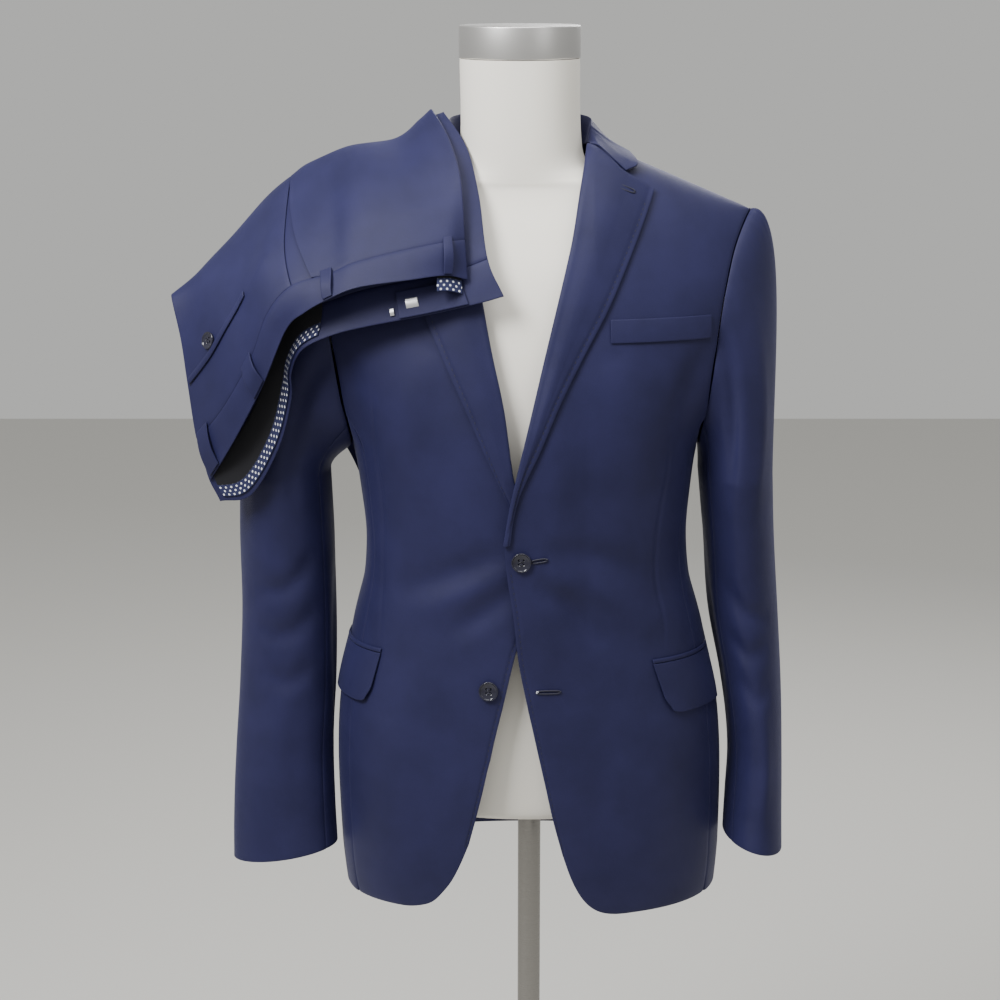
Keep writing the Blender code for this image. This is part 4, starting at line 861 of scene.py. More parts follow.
def tube(name: str, paths: Sequence[Grid], radius: float, finish: Finish,
         ribs: int = 0) -> bpy.types.Object:
    """Round threads along paths, joined in one mesh.

    Args:
        name: The piece's name.
        paths: Points along each thread.
        radius: The thread's half thickness.
        finish: Its finish.
        ribs: Turns of a covering thread along each, 0 for a plain one.

    Returns:
        The object.
    """
    mesh_data = bmesh.new()
    turns = np.linspace(0, 2 * math.pi, 9)
    for path in paths:
        path = np.asarray(path, float)
        run = unit(np.gradient(path, axis=0))
        side = unit(np.cross(run, (0.3, -0.8, 0.52)))
        other = np.cross(run, side)
        share = np.linspace(0, 1, len(path))
        thick = radius * (1 + (0.22 * np.abs(np.sin(math.pi * ribs * share)) if ribs else 0.0))
        thick = thick * np.where((share == 0) | (share == 1), 0.25, 1.0)
        ring = (np.cos(turns)[:, None] * side[:, None] + np.sin(turns)[:, None] * other[:, None])
        grid = path[:, None] + ring * thick[:, None, None]
        part = sheet_mesh(grid)
        holder = bpy.data.meshes.new("thread")
        part.to_mesh(holder)
        part.free()
        mesh_data.from_mesh(holder)
        bpy.data.meshes.remove(holder)
    bmesh.ops.remove_doubles(mesh_data, verts=mesh_data.verts, dist=1e-6)
    bmesh.ops.holes_fill(mesh_data, edges=[edge for edge in mesh_data.edges if edge.is_boundary], sides=12)
    bmesh.ops.recalc_face_normals(mesh_data, faces=mesh_data.faces)
    return finished(name, mesh_data, finish)


def stitches(name: str, rows: Sequence[tuple[Grid, Grid]], stitch: Stitch, finish: Finish = THREAD) -> None:
    """Short stitches along rows of points.

    Args:
        name: The piece's name.
        rows: For each row its points and their outward directions, leaned already.
        stitch: Their length, half width and spacing.
        finish: Their finish.
    """
    length, half, spacing = stitch.value
    mesh_data = bmesh.new()
    for points, normals in rows:
        run = np.concatenate([[0], np.cumsum(np.linalg.norm(np.diff(points, axis=0), axis=1))])
        for place in np.arange(spacing / 2, run[-1], spacing):
            centre, ahead, out = (np.array([np.interp(at, run, values[:, axis]) for axis in range(3)])
                                  for at, values in ((place, points), (place + 0.001, points), (place, normals)))
            forward = unit(ahead - centre)
            up = unit(out - forward * (out @ forward))
            across = np.cross(up, forward)
            matrix = Matrix.Translation(centre) @ Matrix((forward, across, up)).transposed().to_4x4()
            matrix = matrix @ Matrix.Diagonal((length / 2, half, half * 0.8, 1))
            bmesh.ops.create_icosphere(mesh_data, subdivisions=1, radius=1, matrix=matrix)
    finished(name, mesh_data, finish)


# ---------------------------------------------------------------- folds, trim and lights
SEAM_DIP = 0.0005          # a sewn border draws in by this much
SEAM_REACH = 0.0022
DOT_PITCH = 0.0062
DOT_RADIUS = 0.17          # of the pitch
DOTTED_WIDTH = 0.0125
DART_WIDTH = 0.0019
DART_DEPTH = 0.0012
POCKET_LIP = 0.0012        # the slant pocket's mouth stands up by this much
EDGE_CURL = 0.0012         # the front edge and the hem's curve turn in by this much
LAPEL_BELLY = 0.0022
FLAP_SWELL = 0.0010
FLAP_CURL = 0.0012
STITCH_GROOVE = 0.0006     # the stitches draw the edge in by this much
HEM_SMOOTHING = 30         # passes that round the hem's curve into its level part
EDGE_STITCH = 0.0050       # stitches run this far inside an edge
LEGS_RIPPLE = 0.0012
PUCKER = 0.0005            # round the sleeve head
SLEEVE_FOLD_RADIUS = 0.060 # turns round a sleeve to metres
BUTTONHOLE_HALF = 0.0016
BUTTON_HOLE_OFFSET = 0.0019
BUTTON_HOLE_RADIUS = 0.0010
NECK_BACK_Z = 1.456
ARM_START = math.asin((math.pi / 2 - SIDE_SEAM_FRONT) / ARMHOLE_HALF_ANGLE)
ARM_START_BACK = math.asin((SIDE_SEAM_BACK - math.pi / 2) / ARMHOLE_HALF_ANGLE)
LEFT_DART = ((0.142, 1.210), (0.139, 1.171), (0.131, 1.128), (0.127, 1.083), (0.129, 1.053),
             (0.135, 1.026), (0.136, 0.997))
RIGHT_DART = ((0.148, 1.252), (0.149, 1.228), (0.148, 1.184), (0.144, 1.157), (0.1425, 1.127),
              (0.1436, 1.085), (0.146, 1.040), (0.148, 1.002))
LEFT_FRONT_FOLDS = (
    Fold(((0.012, 1.080), (0.070, 1.060), (0.130, 1.010)), 0.013, 0.0030),
    Fold(((0.004, 1.070), (0.040, 1.045), (0.080, 0.998)), 0.012, -0.0032),
    Fold(((0.012, 1.104), (0.060, 1.098), (0.118, 1.072)), 0.012, -0.0030),
    Fold(((0.000, 1.072), (0.014, 1.030), (0.026, 0.985)), 0.008, 0.0014),
    Fold(((0.178, 1.300), (0.160, 1.250), (0.150, 1.190)), 0.014, -0.0044),
    Fold(((0.188, 1.250), (0.170, 1.170), (0.160, 1.100)), 0.012, 0.0037),
    Fold(((0.070, 0.960), (0.075, 0.880), (0.068, 0.790)), 0.020, -0.0031),
    Fold(((0.125, 0.940), (0.130, 0.850), (0.120, 0.760)), 0.024, 0.0034),
    Fold(((0.080, 1.290), (0.105, 1.230), (0.115, 1.150)), 0.022, 0.0037),
)
RIGHT_FRONT_FOLDS = (
    Fold(((0.012, 1.085), (0.062, 1.056), (0.118, 1.030)), 0.012, 0.0032),
    Fold(((0.018, 1.104), (0.072, 1.080), (0.138, 1.050)), 0.013, -0.0034),
    Fold(((0.008, 1.066), (0.042, 1.040), (0.078, 1.014)), 0.012, -0.0032),
    Fold(((0.185, 1.310), (0.168, 1.255), (0.158, 1.180)), 0.015, -0.0041),
    Fold(((0.190, 1.240), (0.176, 1.175), (0.168, 1.110)), 0.012, 0.0034),
    Fold(((0.095, 0.950), (0.100, 0.880), (0.105, 0.790)), 0.022, -0.0031),
    Fold(((0.150, 0.930), (0.152, 0.850), (0.150, 0.760)), 0.022, 0.0031),
    Fold(((0.090, 1.300), (0.115, 1.240), (0.120, 1.160)), 0.020, 0.0027),
)
SIDE_FOLDS = (
    Fold(((1.30, 1.120), (1.60, 1.095), (1.85, 1.110)), 0.030, -0.0022),
    Fold(((1.25, 1.060), (1.55, 1.048), (1.80, 1.070)), 0.026, -0.0017),
)
BACK_FOLDS = (
    Fold(((2.10, 1.330), (2.20, 1.240), (2.22, 1.130)), 0.040, -0.0045),
    Fold(((2.45, 1.130), (2.70, 1.105), (2.95, 1.115)), 0.022, -0.0021),
    Fold(((2.40, 1.060), (2.65, 1.045), (2.90, 1.062)), 0.020, -0.0018),
    Fold(((2.60, 0.930), (2.64, 0.840), (2.62, 0.750)), 0.050, 0.0033),
    Fold(((2.90, 1.440), (2.70, 1.425), (2.50, 1.435)), 0.018, -0.0018),
)
LEFT_SLEEVE_FOLDS = (
    Fold(((0.075, 1.360), (0.085, 1.270), (0.075, 1.150)), 0.010, -0.0045),
    Fold(((0.125, 1.330), (0.130, 1.220), (0.115, 1.120)), 0.012, 0.0024),
    Fold(((0.055, 1.050), (0.090, 1.020), (0.140, 1.010)), 0.012, -0.0036),
    Fold(((0.050, 1.000), (0.085, 0.975), (0.130, 0.985)), 0.011, -0.0030),
    Fold(((0.060, 0.950), (0.095, 0.930), (0.125, 0.940)), 0.012, -0.0024),
    Fold(((0.100, 0.930), (0.105, 0.860), (0.100, 0.790)), 0.014, 0.0024),
    Fold(((0.240, 1.300), (0.235, 1.180), (0.245, 1.060)), 0.016, -0.0036),
    Fold(((0.290, 1.040), (0.250, 1.010), (0.215, 1.020)), 0.012, -0.0027),
    Fold(((0.000, 1.090), (0.015, 0.990), (0.005, 0.890)), 0.012, -0.0027),
)
RIGHT_SLEEVE_FOLDS = (
    Fold(((0.070, 1.350), (0.082, 1.250), (0.078, 1.130)), 0.010, -0.0039),
    Fold(((0.130, 1.300), (0.126, 1.190), (0.135, 1.080)), 0.012, 0.0027),
    Fold(((0.052, 1.080), (0.088, 1.045), (0.138, 1.040)), 0.012, -0.0036),
    Fold(((0.050, 1.020), (0.090, 0.995), (0.135, 1.000)), 0.012, -0.0033),
    Fold(((0.058, 0.960), (0.090, 0.945), (0.130, 0.955)), 0.011, -0.0027),
    Fold(((0.095, 0.940), (0.098, 0.870), (0.090, 0.800)), 0.014, 0.0024),
    Fold(((0.235, 1.280), (0.242, 1.160), (0.236, 1.050)), 0.015, -0.0033),
    Fold(((0.285, 1.060), (0.250, 1.030), (0.210, 1.035)), 0.012, -0.0027),
    Fold(((0.002, 1.070), (0.012, 0.980), (0.000, 0.880)), 0.012, -0.0027),
)
TROUSER_FOLDS = (
    Fold(((1.60, 0.6), (1.75, 1.8), (1.70, 3.3)), 0.50, -0.0032),
    Fold(((2.70, 0.8), (2.75, 2.0), (2.60, 3.6)), 0.45, 0.0025),
    Fold(((3.60, 0.9), (3.50, 2.2), (3.65, 3.7)), 0.40, -0.0025),
    Fold(((6.10, 0.7), (6.20, 1.9), (6.00, 3.0)), 0.55, -0.0028),
    Fold(((7.60, 0.6), (7.70, 1.7), (7.50, 3.8)), 0.50, 0.0022),
)
# name, place, aim, size, power
LIGHTS = (
    ("key", (-1.25, -1.25, 2.75), (-0.1, 0.0, 1.42), (0.9, 0.9), 84.0),
    ("fill", (2.2, -2.2, 2.2), (0.0, 0.0, 1.35), (1.4, 1.4), 10.0),
    ("top", (0.2, -0.5, 3.1), (0.0, 0.0, 1.4), (1.4, 1.4), 36.0),
    ("back", (0.9, 2.6, 2.6), (0.0, 0.0, 1.2), (1.6, 1.6), 40.0),
)


# ---------------------------------------------------------------- the jacket's surface
@dataclass(frozen=True)
class Torso:
    """The face that the jacket's body lies on, from its section table. Angle 0 is the front, pi the back."""

    sections: tuple = JACKET_SECTIONS
    chest_z: float = CHEST_Z
    top_z: float = SHOULDER_Z

    def point(self, angle: Grid, height: Grid) -> Grid:
        """Points of the face.

        Args:
            angle: Angles round the body.
            height: Nominal heights, before the shoulder's fall.

        Returns:
            The points.
        """
        angle, height = np.broadcast_arrays(np.asarray(angle, float), np.asarray(height, float))
        half, front, back = np.moveaxis(at_height(self.sections, height), -1, 0)
        rise = np.clip((height - self.chest_z) / (self.top_z - self.chest_z), 0, 1)
        dome = np.sqrt(np.maximum(0, 1 - rise * rise))
        power = 2 / SQUARENESS
        x = np.sign(np.sin(angle)) * half * np.abs(np.sin(angle)) ** power
        reach = np.abs(np.cos(angle)) ** power * dome
        y = np.where(np.cos(angle) > 0, -front * reach, back * reach)
        z = height - SHOULDER_DROP * rise ** 1.5 * np.maximum(0, x - NECK_X)
        return np.stack([x, y, z], axis=-1)

    def normal(self, angle: Grid, height: Grid) -> Grid:
        """Outward directions of the face.

        Args:
            angle: Angles round the body.
            height: Nominal heights.

        Returns:
            Unit directions.
        """
        step = 0.004
        top = np.minimum(np.asarray(height, float) + step, self.top_z - 1e-4)
        across = self.point(angle + step, height) - self.point(angle - step, height)
        out = np.cross(across, self.point(angle, top) - self.point(angle, top - 2 * step))
        ridge = np.broadcast_to(height, out.shape[:-1]) > self.top_z - 0.0005
        out[..., 1] = np.where(ridge, 0.0, out[..., 1])
        return unit(out)

    def place(self, x: Grid, z: Grid) -> tuple[Grid, Grid]:
        """Finds the front's points as seen from the front.

        Args:
            x: Distances out from the middle.
            z: Heights over the floor.

        Returns:
            Their angles and nominal heights.
        """
        x, z = np.broadcast_arrays(np.asarray(x, float), np.asarray(z, float))
        height = z
        for _ in range(12):
            rise = np.clip((height - self.chest_z) / (self.top_z - self.chest_z), 0, 1)
            height = np.minimum(z + SHOULDER_DROP * rise ** 1.5 * np.maximum(0, x - NECK_X), self.top_z)
        half = at_height(self.sections, height)[..., 0]
        share = np.minimum(np.abs(x) / half, 1.0) ** (SQUARENESS / 2)
        return np.copysign(np.arcsin(share), x), height

    def lifted(self, angle: Grid, height: Grid, lift: Grid = 0.0) -> Grid:
        """Points that stand off the face."""
        lift = np.broadcast_to(lift, np.broadcast(angle, height).shape)
        return self.point(angle, height) + self.normal(angle, height) * lift[..., None]

    def front(self, x: Grid, z: Grid, lift: Grid = 0.0) -> Grid:
        """Points that stand off the front, given as seen from the front."""
        return self.lifted(*self.place(x, z), lift)

    def overlap(self, point: Grid) -> Grid:
        """How far the left front stands off, where it lies over the right one."""
        height = ease(0.93, 1.05, point[..., 2]) * (1 - ease(1.20, 1.30, point[..., 2]))
        return CENTRE_FRONT_LIFT * (1 - ease(0.022, 0.062, point[..., 0])) * height


def armhole(turn: Grid) -> tuple[Grid, Grid]:
    """Angle and height on the armhole's edge: turn 0 is the armpit, pi / 2 the front, pi the shoulder."""
    middle = (SHOULDER_Z + ARMPIT_Z) / 2
    half = (SHOULDER_Z - ARMPIT_Z) / 2
    return math.pi / 2 - ARMHOLE_HALF_ANGLE * np.sin(turn), middle - half * np.cos(turn)


def pairs(*columns: Grid) -> Grid:
    """Arrays side by side as a list of places."""
    return np.stack(np.broadcast_arrays(*columns), axis=-1)


@dataclass
class Jacket:
    """The jacket: fronts, sides, backs, lapels, collar, sleeves, pockets and buttons."""

    torso: Torso = field(default_factory=Torso)
    side_rows: int = 96        # rows from the hem to the foot of the armhole seam
    arm_rows: int = 72         # rows up each side of the armhole
    columns: int = 128

    def side_seam(self, angle: float, start: float) -> Grid:
        """Places up a side seam from the hem to the armhole."""
        return pairs(angle, np.linspace(HEM_Z, armhole(start)[1], self.side_rows))

    def arm_edge(self, start: float, side: int = 1) -> Grid:
        """Places round the armhole from a side seam up to the shoulder."""
        return pairs(*armhole(side * np.linspace(start, math.pi, self.arm_rows)))[1:]

    def on_body(self, places: Grid) -> tuple[Grid, Grid]:
        """The body's points and outward directions at a grid of places."""
        angle, height = places[..., 0], places[..., 1]
        return self.torso.point(angle, height), self.torso.normal(angle, height)

    def front_places(self, edge: tuple, hem: tuple) -> Grid:
        """Places of one front, from its edge to the side seam and armhole, with the cut-away hem.

        Args:
            edge: Front edge and roll line, from the hem's curve up.
            hem: Curve of the hem from the front edge to its level part.

        Returns:
            A grid of angles and heights.
        """
        outer = np.concatenate([self.side_seam(SIDE_SEAM_FRONT, ARM_START), self.arm_edge(ARM_START)])
        heights = np.maximum(outer[:, 1], edge[0][1])
        first = int(np.sum(heights <= edge[0][1]))
        heights[:first + 1] = np.linspace(edge[0][1], heights[first], first + 1)
        keys = [row[1] for row in edge]
        share = np.interp(heights, keys, np.arange(len(keys))) / (len(keys) - 1)
        inner = pairs(*self.torso.place(through(edge, share)[:, 0], heights))
        curved = self.columns * 6 // 10
        bottom = pairs(*self.torso.place(*along(hem, np.linspace(0, 1, curved + 1)).T))
        rest = np.linspace(0, 1, self.columns - curved)[1:, None]
        bottom = np.concatenate([bottom, bottom[-1] + ((SIDE_SEAM_FRONT, HEM_Z) - bottom[-1]) * rest])
        for _ in range(HEM_SMOOTHING):
            bottom[1:-1] = (bottom[:-2] + 2 * bottom[1:-1] + bottom[2:]) / 4
        top = pairs(np.linspace(inner[-1, 0], math.pi / 2, len(bottom)), SHOULDER_Z)
        return filled(inner, outer, bottom, top)

    def build_front(self, side: Side, edge: tuple, hem: tuple, folds: tuple, dart: tuple) -> Piece:
        """One front with its dart, its soft folds and a rolled edge.

        Args:
            side: The wearer's side.
            edge: Its front edge and roll line.
            hem: Its hem's curve.
            folds: Its soft folds.
            dart: Points down its dart.

        Returns:
            The piece.
        """
        grid, normals = self.on_body(self.front_places(edge, hem))
        x, z = grid[..., 0], grid[..., 2]
        pocket = ease(0.915, 0.935, z) * (1 - ease(0.995, 1.015, z)) * ease(0.100, 0.125, x)
        lift = fold_height(folds, x, z) * (1 - pocket) + Fold(dart, DART_WIDTH, -DART_DEPTH).height(x, z)
        if side is Side.LEFT:
            lift = lift + self.torso.overlap(grid)
        over, down = arcs(grid)
        curl = EDGE_CURL * (np.exp(-over / 0.008) + np.exp(-down / 0.010)) * (1 - ease(1.03, 1.09, z))
        groove = STITCH_GROOVE * np.exp(-((over - EDGE_STITCH) / 0.0015) ** 2) * (1 - ease(1.07, 1.09, z))
        grid = grid + normals * (lift - curl - groove)[..., None]
        piece = Piece(f"jacket_front_{side.name.lower()}", grid, normals, seams="right high")
        piece.build(side)
        return piece

    def build_body(self, side: Side) -> None:
        """The side panel and the back of one side.

        Args:
            side: The wearer's side.
        """
        name = side.name.lower()
        turns = np.linspace(ARM_START, -ARM_START_BACK, 28)
        bottom = pairs(np.linspace(SIDE_SEAM_FRONT, SIDE_SEAM_BACK, 28), HEM_Z)
        places = filled(self.side_seam(SIDE_SEAM_FRONT, ARM_START),
                        self.side_seam(SIDE_SEAM_BACK, ARM_START_BACK), bottom, pairs(*armhole(turns)))
        grid, normals = self.on_body(places)
        waist = fold_height(SIDE_FOLDS, places[..., 0], places[..., 1])
        grid = grid + normals * waist[..., None]
        Piece(f"jacket_side_{name}", grid, normals, seams="left right high").build(side)
        outer = np.concatenate([self.side_seam(SIDE_SEAM_BACK, ARM_START_BACK),
                                self.arm_edge(ARM_START_BACK, -1)])
        centre = outer[:, 1].copy()
        low = int(np.sum(centre < NECK_BACK_Z))
        start = max(low - 24, 2)
        centre[start:] = np.linspace(centre[start], NECK_BACK_Z, len(centre) - start)
        neck_turn = math.pi - float(self.torso.place(NECK_X, SHOULDER_Z)[0])
        columns = self.columns * 5 // 8
        count = columns // 2
        top = pairs(np.linspace(math.pi / 2, neck_turn, count), SHOULDER_Z)
        turn = np.linspace(0, math.pi / 2, columns - count + 1)[1:]
        height = SHOULDER_Z - (SHOULDER_Z - NECK_BACK_Z) * np.sin(turn) ** 1.1
        share = (NECK_X * np.cos(turn) / at_height(JACKET_SECTIONS, height)[:, 0]) ** (SQUARENESS / 2)
        top = np.concatenate([top, pairs(math.pi - np.arcsin(np.maximum(share, 0)), height)])
        bottom = pairs(np.linspace(SIDE_SEAM_BACK, math.pi, len(top)), HEM_Z)
        places = filled(outer, pairs(math.pi, centre), bottom, top)
        grid, normals = self.on_body(places)
        lift = fold_height(BACK_FOLDS, places[..., 0], places[..., 1])
        grid = grid + normals * lift[..., None]
        Piece(f"jacket_back_{name}", grid, normals, seams="left right high").build(side)

    def build_lapel(self, side: Side, edge: tuple, lapel_edge: tuple) -> Piece:
        """The lapel, rolled over from the roll line.

        Args:
            side: The wearer's side.
            edge: The front's edge and roll line.
            lapel_edge: The lapel's outer edge, from its foot to its point.

        Returns:
            The piece.
        """
        left = side is Side.LEFT
        rows, columns, rolled = 120, 38, 8
        foot = lapel_edge[0][1]
        line = [(x, z) for x, z in edge if z > foot - 0.035 and z > 1.095]
        up = np.linspace(0, 1, rows)
        roll, outer = along(line, up), along(lapel_edge, up)
        if left:
            outer = outer + ((roll[0] + (0.004, 0.0)) - outer[0]) * (1 - ease(0, 0.09, up))[:, None]
        roll = roll + (np.array(LAPEL_TOP[0]) - roll[-1]) * ease(0.93, 1, up)[:, None]
        shares = np.linspace(0, 1, columns)
        bottom = roll[0] + (outer[0] - roll[0]) * shares[:, None]
        top_places = np.interp(shares, [row[0] for row in LAPEL_ROLL], (0.0, 0.12, 0.36, 0.62, 1.0))
        top = along(LAPEL_TOP, top_places)
        top = top + (outer[-1] - top[-1]) * (shares[:, None] > 0.999)
        places = filled(roll, outer, bottom, top)
        lifts = np.interp(shares, *np.array(LAPEL_ROLL[1:]).T)[None] * np.ones((rows, 1))
        lifts = lifts + LAPEL_TOP_LIFT * ease(1.39, 1.43, places[..., 1])
        lifts = lifts + LAPEL_BELLY * np.sin(np.pi * shares)[None] * ease(1.16, 1.26, places[..., 1])
        angles = np.radians(np.linspace(-80, 60, rolled))
        tight = lifts[:, :1] / 2
        roll_x = places[:, :1, 0] - tight * np.cos(angles)
        around = np.stack([roll_x, np.repeat(places[:, :1, 1], rolled, axis=1)], axis=-1)
        places = np.concatenate([around, places[:, 1:]], axis=1)
        lifts = np.concatenate([0.0004 + tight * (1 + np.sin(angles)), lifts[:, 1:]], axis=1)
        flat = self.torso.front(places[..., 0], places[..., 1])
        if left:
            lifts = lifts + self.torso.overlap(flat)
        else:
            lifts = np.minimum(lifts, UNDER_LAPEL_LIFT + lifts * ease(1.165, 1.200, places[..., 1]))
        over, _ = arcs(flat)
        lifts = lifts - STITCH_GROOVE * np.exp(-((over[:, -1:] - over - EDGE_STITCH) / 0.0017) ** 2)
        grid = self.torso.front(places[..., 0], places[..., 1], lifts)
        normals = grid_normals(grid)
        name = f"lapel_{side.name.lower()}"
        piece = Piece(name, grid, normals, LAPEL_CLOTH, rests_on=(f"jacket_front_{side.name.lower()}",))
        piece.build(side)
        return piece

    def build_collar(self) -> None:
        """The collar round the back of the neck, from notch to notch, with its stand inside."""
        half = np.array(COLLAR)
        gorge = along(LAPEL_TOP[:4], (0.02, 0.12, 0.24, 0.62, 1.0)) + (0.0006, 0.0012)
        end = self.torso.front(*gorge.T, (0.0050, 0.0066, 0.0074, 0.0078, 0.0070))
        sections = np.concatenate([half[:0:-1] * (-1, 1, 1), half, end[None]])
        lines = through(sections, np.linspace(0, 1, 120))
        grid = np.moveaxis(through(np.moveaxis(lines, 1, 0), np.linspace(0, 1, 28)), 0, 1)
        Piece("collar", grid, -grid_normals(grid), LAPEL_CLOTH, rests_on=("jacket_back_left",)).build()

    def sleeve_ring(self, table: tuple, height: Grid, turn: Grid) -> Grid:
        """Points of a sleeve below the armpit.

        Args:
            table: The sleeve's sections.
            height: Heights of the points.
            turn: Angles round the sleeve; 0 is the inner side, pi / 2 the front.

        Returns:
            The points.
        """
        inner, outer, middle, depth = np.moveaxis(at_height(table, height), -1, 0)
        low = ease(1.0, 0.757, height)
        centre, half = (inner + outer) / 2, (outer - inner) / 2
        return np.stack(np.broadcast_arrays(centre - half * np.cos(turn), middle - depth * np.sin(turn),
                                            height + CUFF_RISE * low * np.cos(turn)), axis=-1)

    def sleeve_part(self, table: tuple, start: float, end: float, columns: int,
                    folds: tuple) -> tuple[Grid, Grid]:
        """Part of a sleeve between two seams, rows from the armhole to the cuff.

        Args:
            table: The sleeve's sections.
            start: Angle of the first seam.
            end: Angle of the last seam.
            columns: Columns between them.
            folds: The sleeve's soft folds.

        Returns:
            Its points and their outward directions.
        """
        step = (end - start) / (columns - 1)
        turn = np.linspace(start - step, end + step, columns + 2)[None]
        part = np.linspace(0, 1, 52)[:-1, None, None]
        seam = self.torso.lifted(*armhole(turn), 0.0004) + (0.0007, 0, 0)
        ring = self.sleeve_ring(table, np.full(turn.shape, table[0][0]), turn)
        reach = np.linalg.norm(ring - seam, axis=-1, keepdims=True)
        upper = ((1 - np.cos(turn)) / 2)[..., None]
        leave = (np.array((0.44, 0.0, 0.04)) * upper + np.array((0.3, 0, -0.5)) * (1 - upper)) * reach
        arrive = np.array((0.0, 0.0, -1.15)) * reach
        head = ((2 * part ** 3 - 3 * part ** 2 + 1) * seam + (part ** 3 - 2 * part ** 2 + part) * leave
                + (3 * part ** 2 - 2 * part ** 3) * ring + (part ** 3 - part ** 2) * arrive)
        arm = self.sleeve_ring(table, np.linspace(table[0][0], table[-1][0], 110)[:, None], turn)
        grid = np.concatenate([head, arm])
        normals = -grid_normals(grid)
        lift = fold_height(folds, turn * SLEEVE_FOLD_RADIUS + 0 * grid[..., 2], grid[..., 2])
        below_seam = np.exp(-((np.arange(len(grid))[:, None] - 5) / 5.0) ** 2)
        pucker = PUCKER * np.sin(turn * 38) * below_seam * upper[..., 0]
        grid = grid + normals * (lift + pucker)[..., None]
        return grid[:, 1:-1], normals[:, 1:-1]

    def build_sleeve(self, side: Side, table: tuple, folds: tuple) -> None:
        """The top and the under sleeve of one side.

        Args:
            side: The wearer's side.
            table: The sleeve's sections.
            folds: Its soft folds.
        """
        name = side.name.lower()
        body = (f"jacket_front_{name}", f"jacket_back_{name}")
        for part, start, end, columns in (("top", SLEEVE_SEAM_FRONT, SLEEVE_SEAM_BACK, 104),
                                          ("under", SLEEVE_SEAM_BACK - 2 * math.pi, SLEEVE_SEAM_FRONT, 30)):
            grid, normals = self.sleeve_part(table, start, end, columns, folds)
            Piece(f"sleeve_{part}_{name}", grid, normals, seams="left right low", rests_on=body).build(side)

    def build_pocket(self, side: Side, flap: dict) -> None:
        """A flap with rounded corners under its jet.

        Args:
            side: The wearer's side.
            flap: Its angles, its top and its depth.
        """
        name = side.name.lower()
        down, over = np.linspace(0, 1, 34)[:, None], np.linspace(0, 1, 60)[None]
        round_off = 0.003 * ease(0.6, 1.0, down) ** 2
        angle = flap["front"] + (flap["back"] - flap["front"]) * over + flap["slant"] * down * (1 - over)
        angle = angle + round_off / 0.19 * (1 - 2 * over) * np.abs(1 - 2 * over) ** 3 * 2
        corner = 0.004 * np.abs(1 - 2 * over) ** 8 * down
        height = flap["top"] + flap["rise"] * over - (flap["tall"] - corner) * down
        swell = (FLAP_SWELL * np.sin(np.pi * down) * np.sin(np.pi * over)
                 + FLAP_CURL * down ** 2 * np.cos(np.pi * over) ** 2)
        close = 1 - 0.6 * ease(0.85, 1.0, over)
        grid = self.torso.lifted(angle, height, (0.0022 + 0.0012 * down + swell) * close)
        below = (f"jacket_front_{name}",)
        Piece(f"flap_{name}", grid, -grid_normals(grid), 0.0014, rests_on=below).build(side)
        up = np.array([1.0, 0.66, 0.33, 0.0])[:, None]
        jet_angle = flap["front"] + (flap["back"] - flap["front"]) * over
        grid = self.torso.lifted(jet_angle, flap["top"] + flap["rise"] * over + 0.0006 + JET_TALL * up,
                                 (0.0019 + 0.0005 * np.sin(np.pi * up)) * close)
        Piece(f"jet_{name}", grid, -grid_normals(grid), 0.0014, rests_on=below).build(side)

    def build_welt(self) -> None:
        """The breast pocket's welt."""
        x = np.linspace(WELT["inner"], WELT["outer"], 60)[None]
        down = np.linspace(0, 1, 14)[:, None]
        z = WELT["low"] + WELT["tall"] * (1 - down)
        grid = self.torso.front(x, z, 0.0020 + 0.0004 * np.sin(np.pi * down))
        Piece("breast_welt", grid, -grid_normals(grid), 0.0014, rests_on=("jacket_front_left",)).build()

    def spot(self, x: float, z: float, side: Side, lift: float) -> Matrix:
        """Where something sits on a front.

        Args:
            x: Distance out from the middle.
            z: Height over the floor.
            side: The wearer's side.
            lift: How far it stands off the cloth's face.

        Returns:
            A matrix whose axes point across, up and out.
        """
        def place(dx: float, dz: float) -> Grid:
            """A leaned point near the spot."""
            point = self.torso.front(x + dx, z + dz, lift)
            if side is Side.LEFT:
                out = self.torso.normal(*self.torso.place(x + dx, z + dz))
                point = point + out * self.torso.overlap(point)
            return leaned(point * (side.value, 1, 1))
        across = unit(place(0.004, 0) - place(-0.004, 0)) * side.value
        out = unit(np.cross(across, place(0, 0.004) - place(0, -0.004)))
        matrix = Matrix((across, np.cross(out, across), out)).transposed().to_4x4()
        matrix.translation = place(0, 0)
        return matrix

    def build_buttonhole(self, name: str, start: tuple, end: tuple, side: Side, lift: float) -> None:
        """A worked buttonhole: a ribbed thread round its slit, and a bar across its end.

        Args:
            name: The piece's name.
            start: Its inner end, out from the middle and up.
            end: Its outer end.
            side: The wearer's side.
            lift: How far the thread stands off the cloth's face.
        """
        ends = np.array((start, end), float)
        middle, half = ends.mean(axis=0), np.linalg.norm(ends[1] - ends[0]) / 2
        ahead = unit(ends[1] - ends[0])
        aside = np.array((-ahead[1], ahead[0]))
        turns = np.linspace(0, 2 * math.pi, 73)
        oval = (middle + ahead * (half * np.sign(np.cos(turns)) * np.abs(np.cos(turns)) ** 0.55)[:, None]
                + aside * (BUTTONHOLE_HALF * np.sin(turns))[:, None])
        paths = []
        for points in (oval, middle + np.linspace(-1, 1, 7)[:, None] * aside * 0.0018 - ahead * half):
            rise = lift + self.torso.overlap(self.torso.front(*points.T)) * (side is Side.LEFT)
            paths.append(leaned(self.torso.front(*points.T, rise) * (side.value, 1, 1)))
        tube(name, paths[:1], 0.0007, THREAD, ribs=36)
        tube(f"{name}_bar", paths[1:], 0.00055, THREAD, ribs=5)

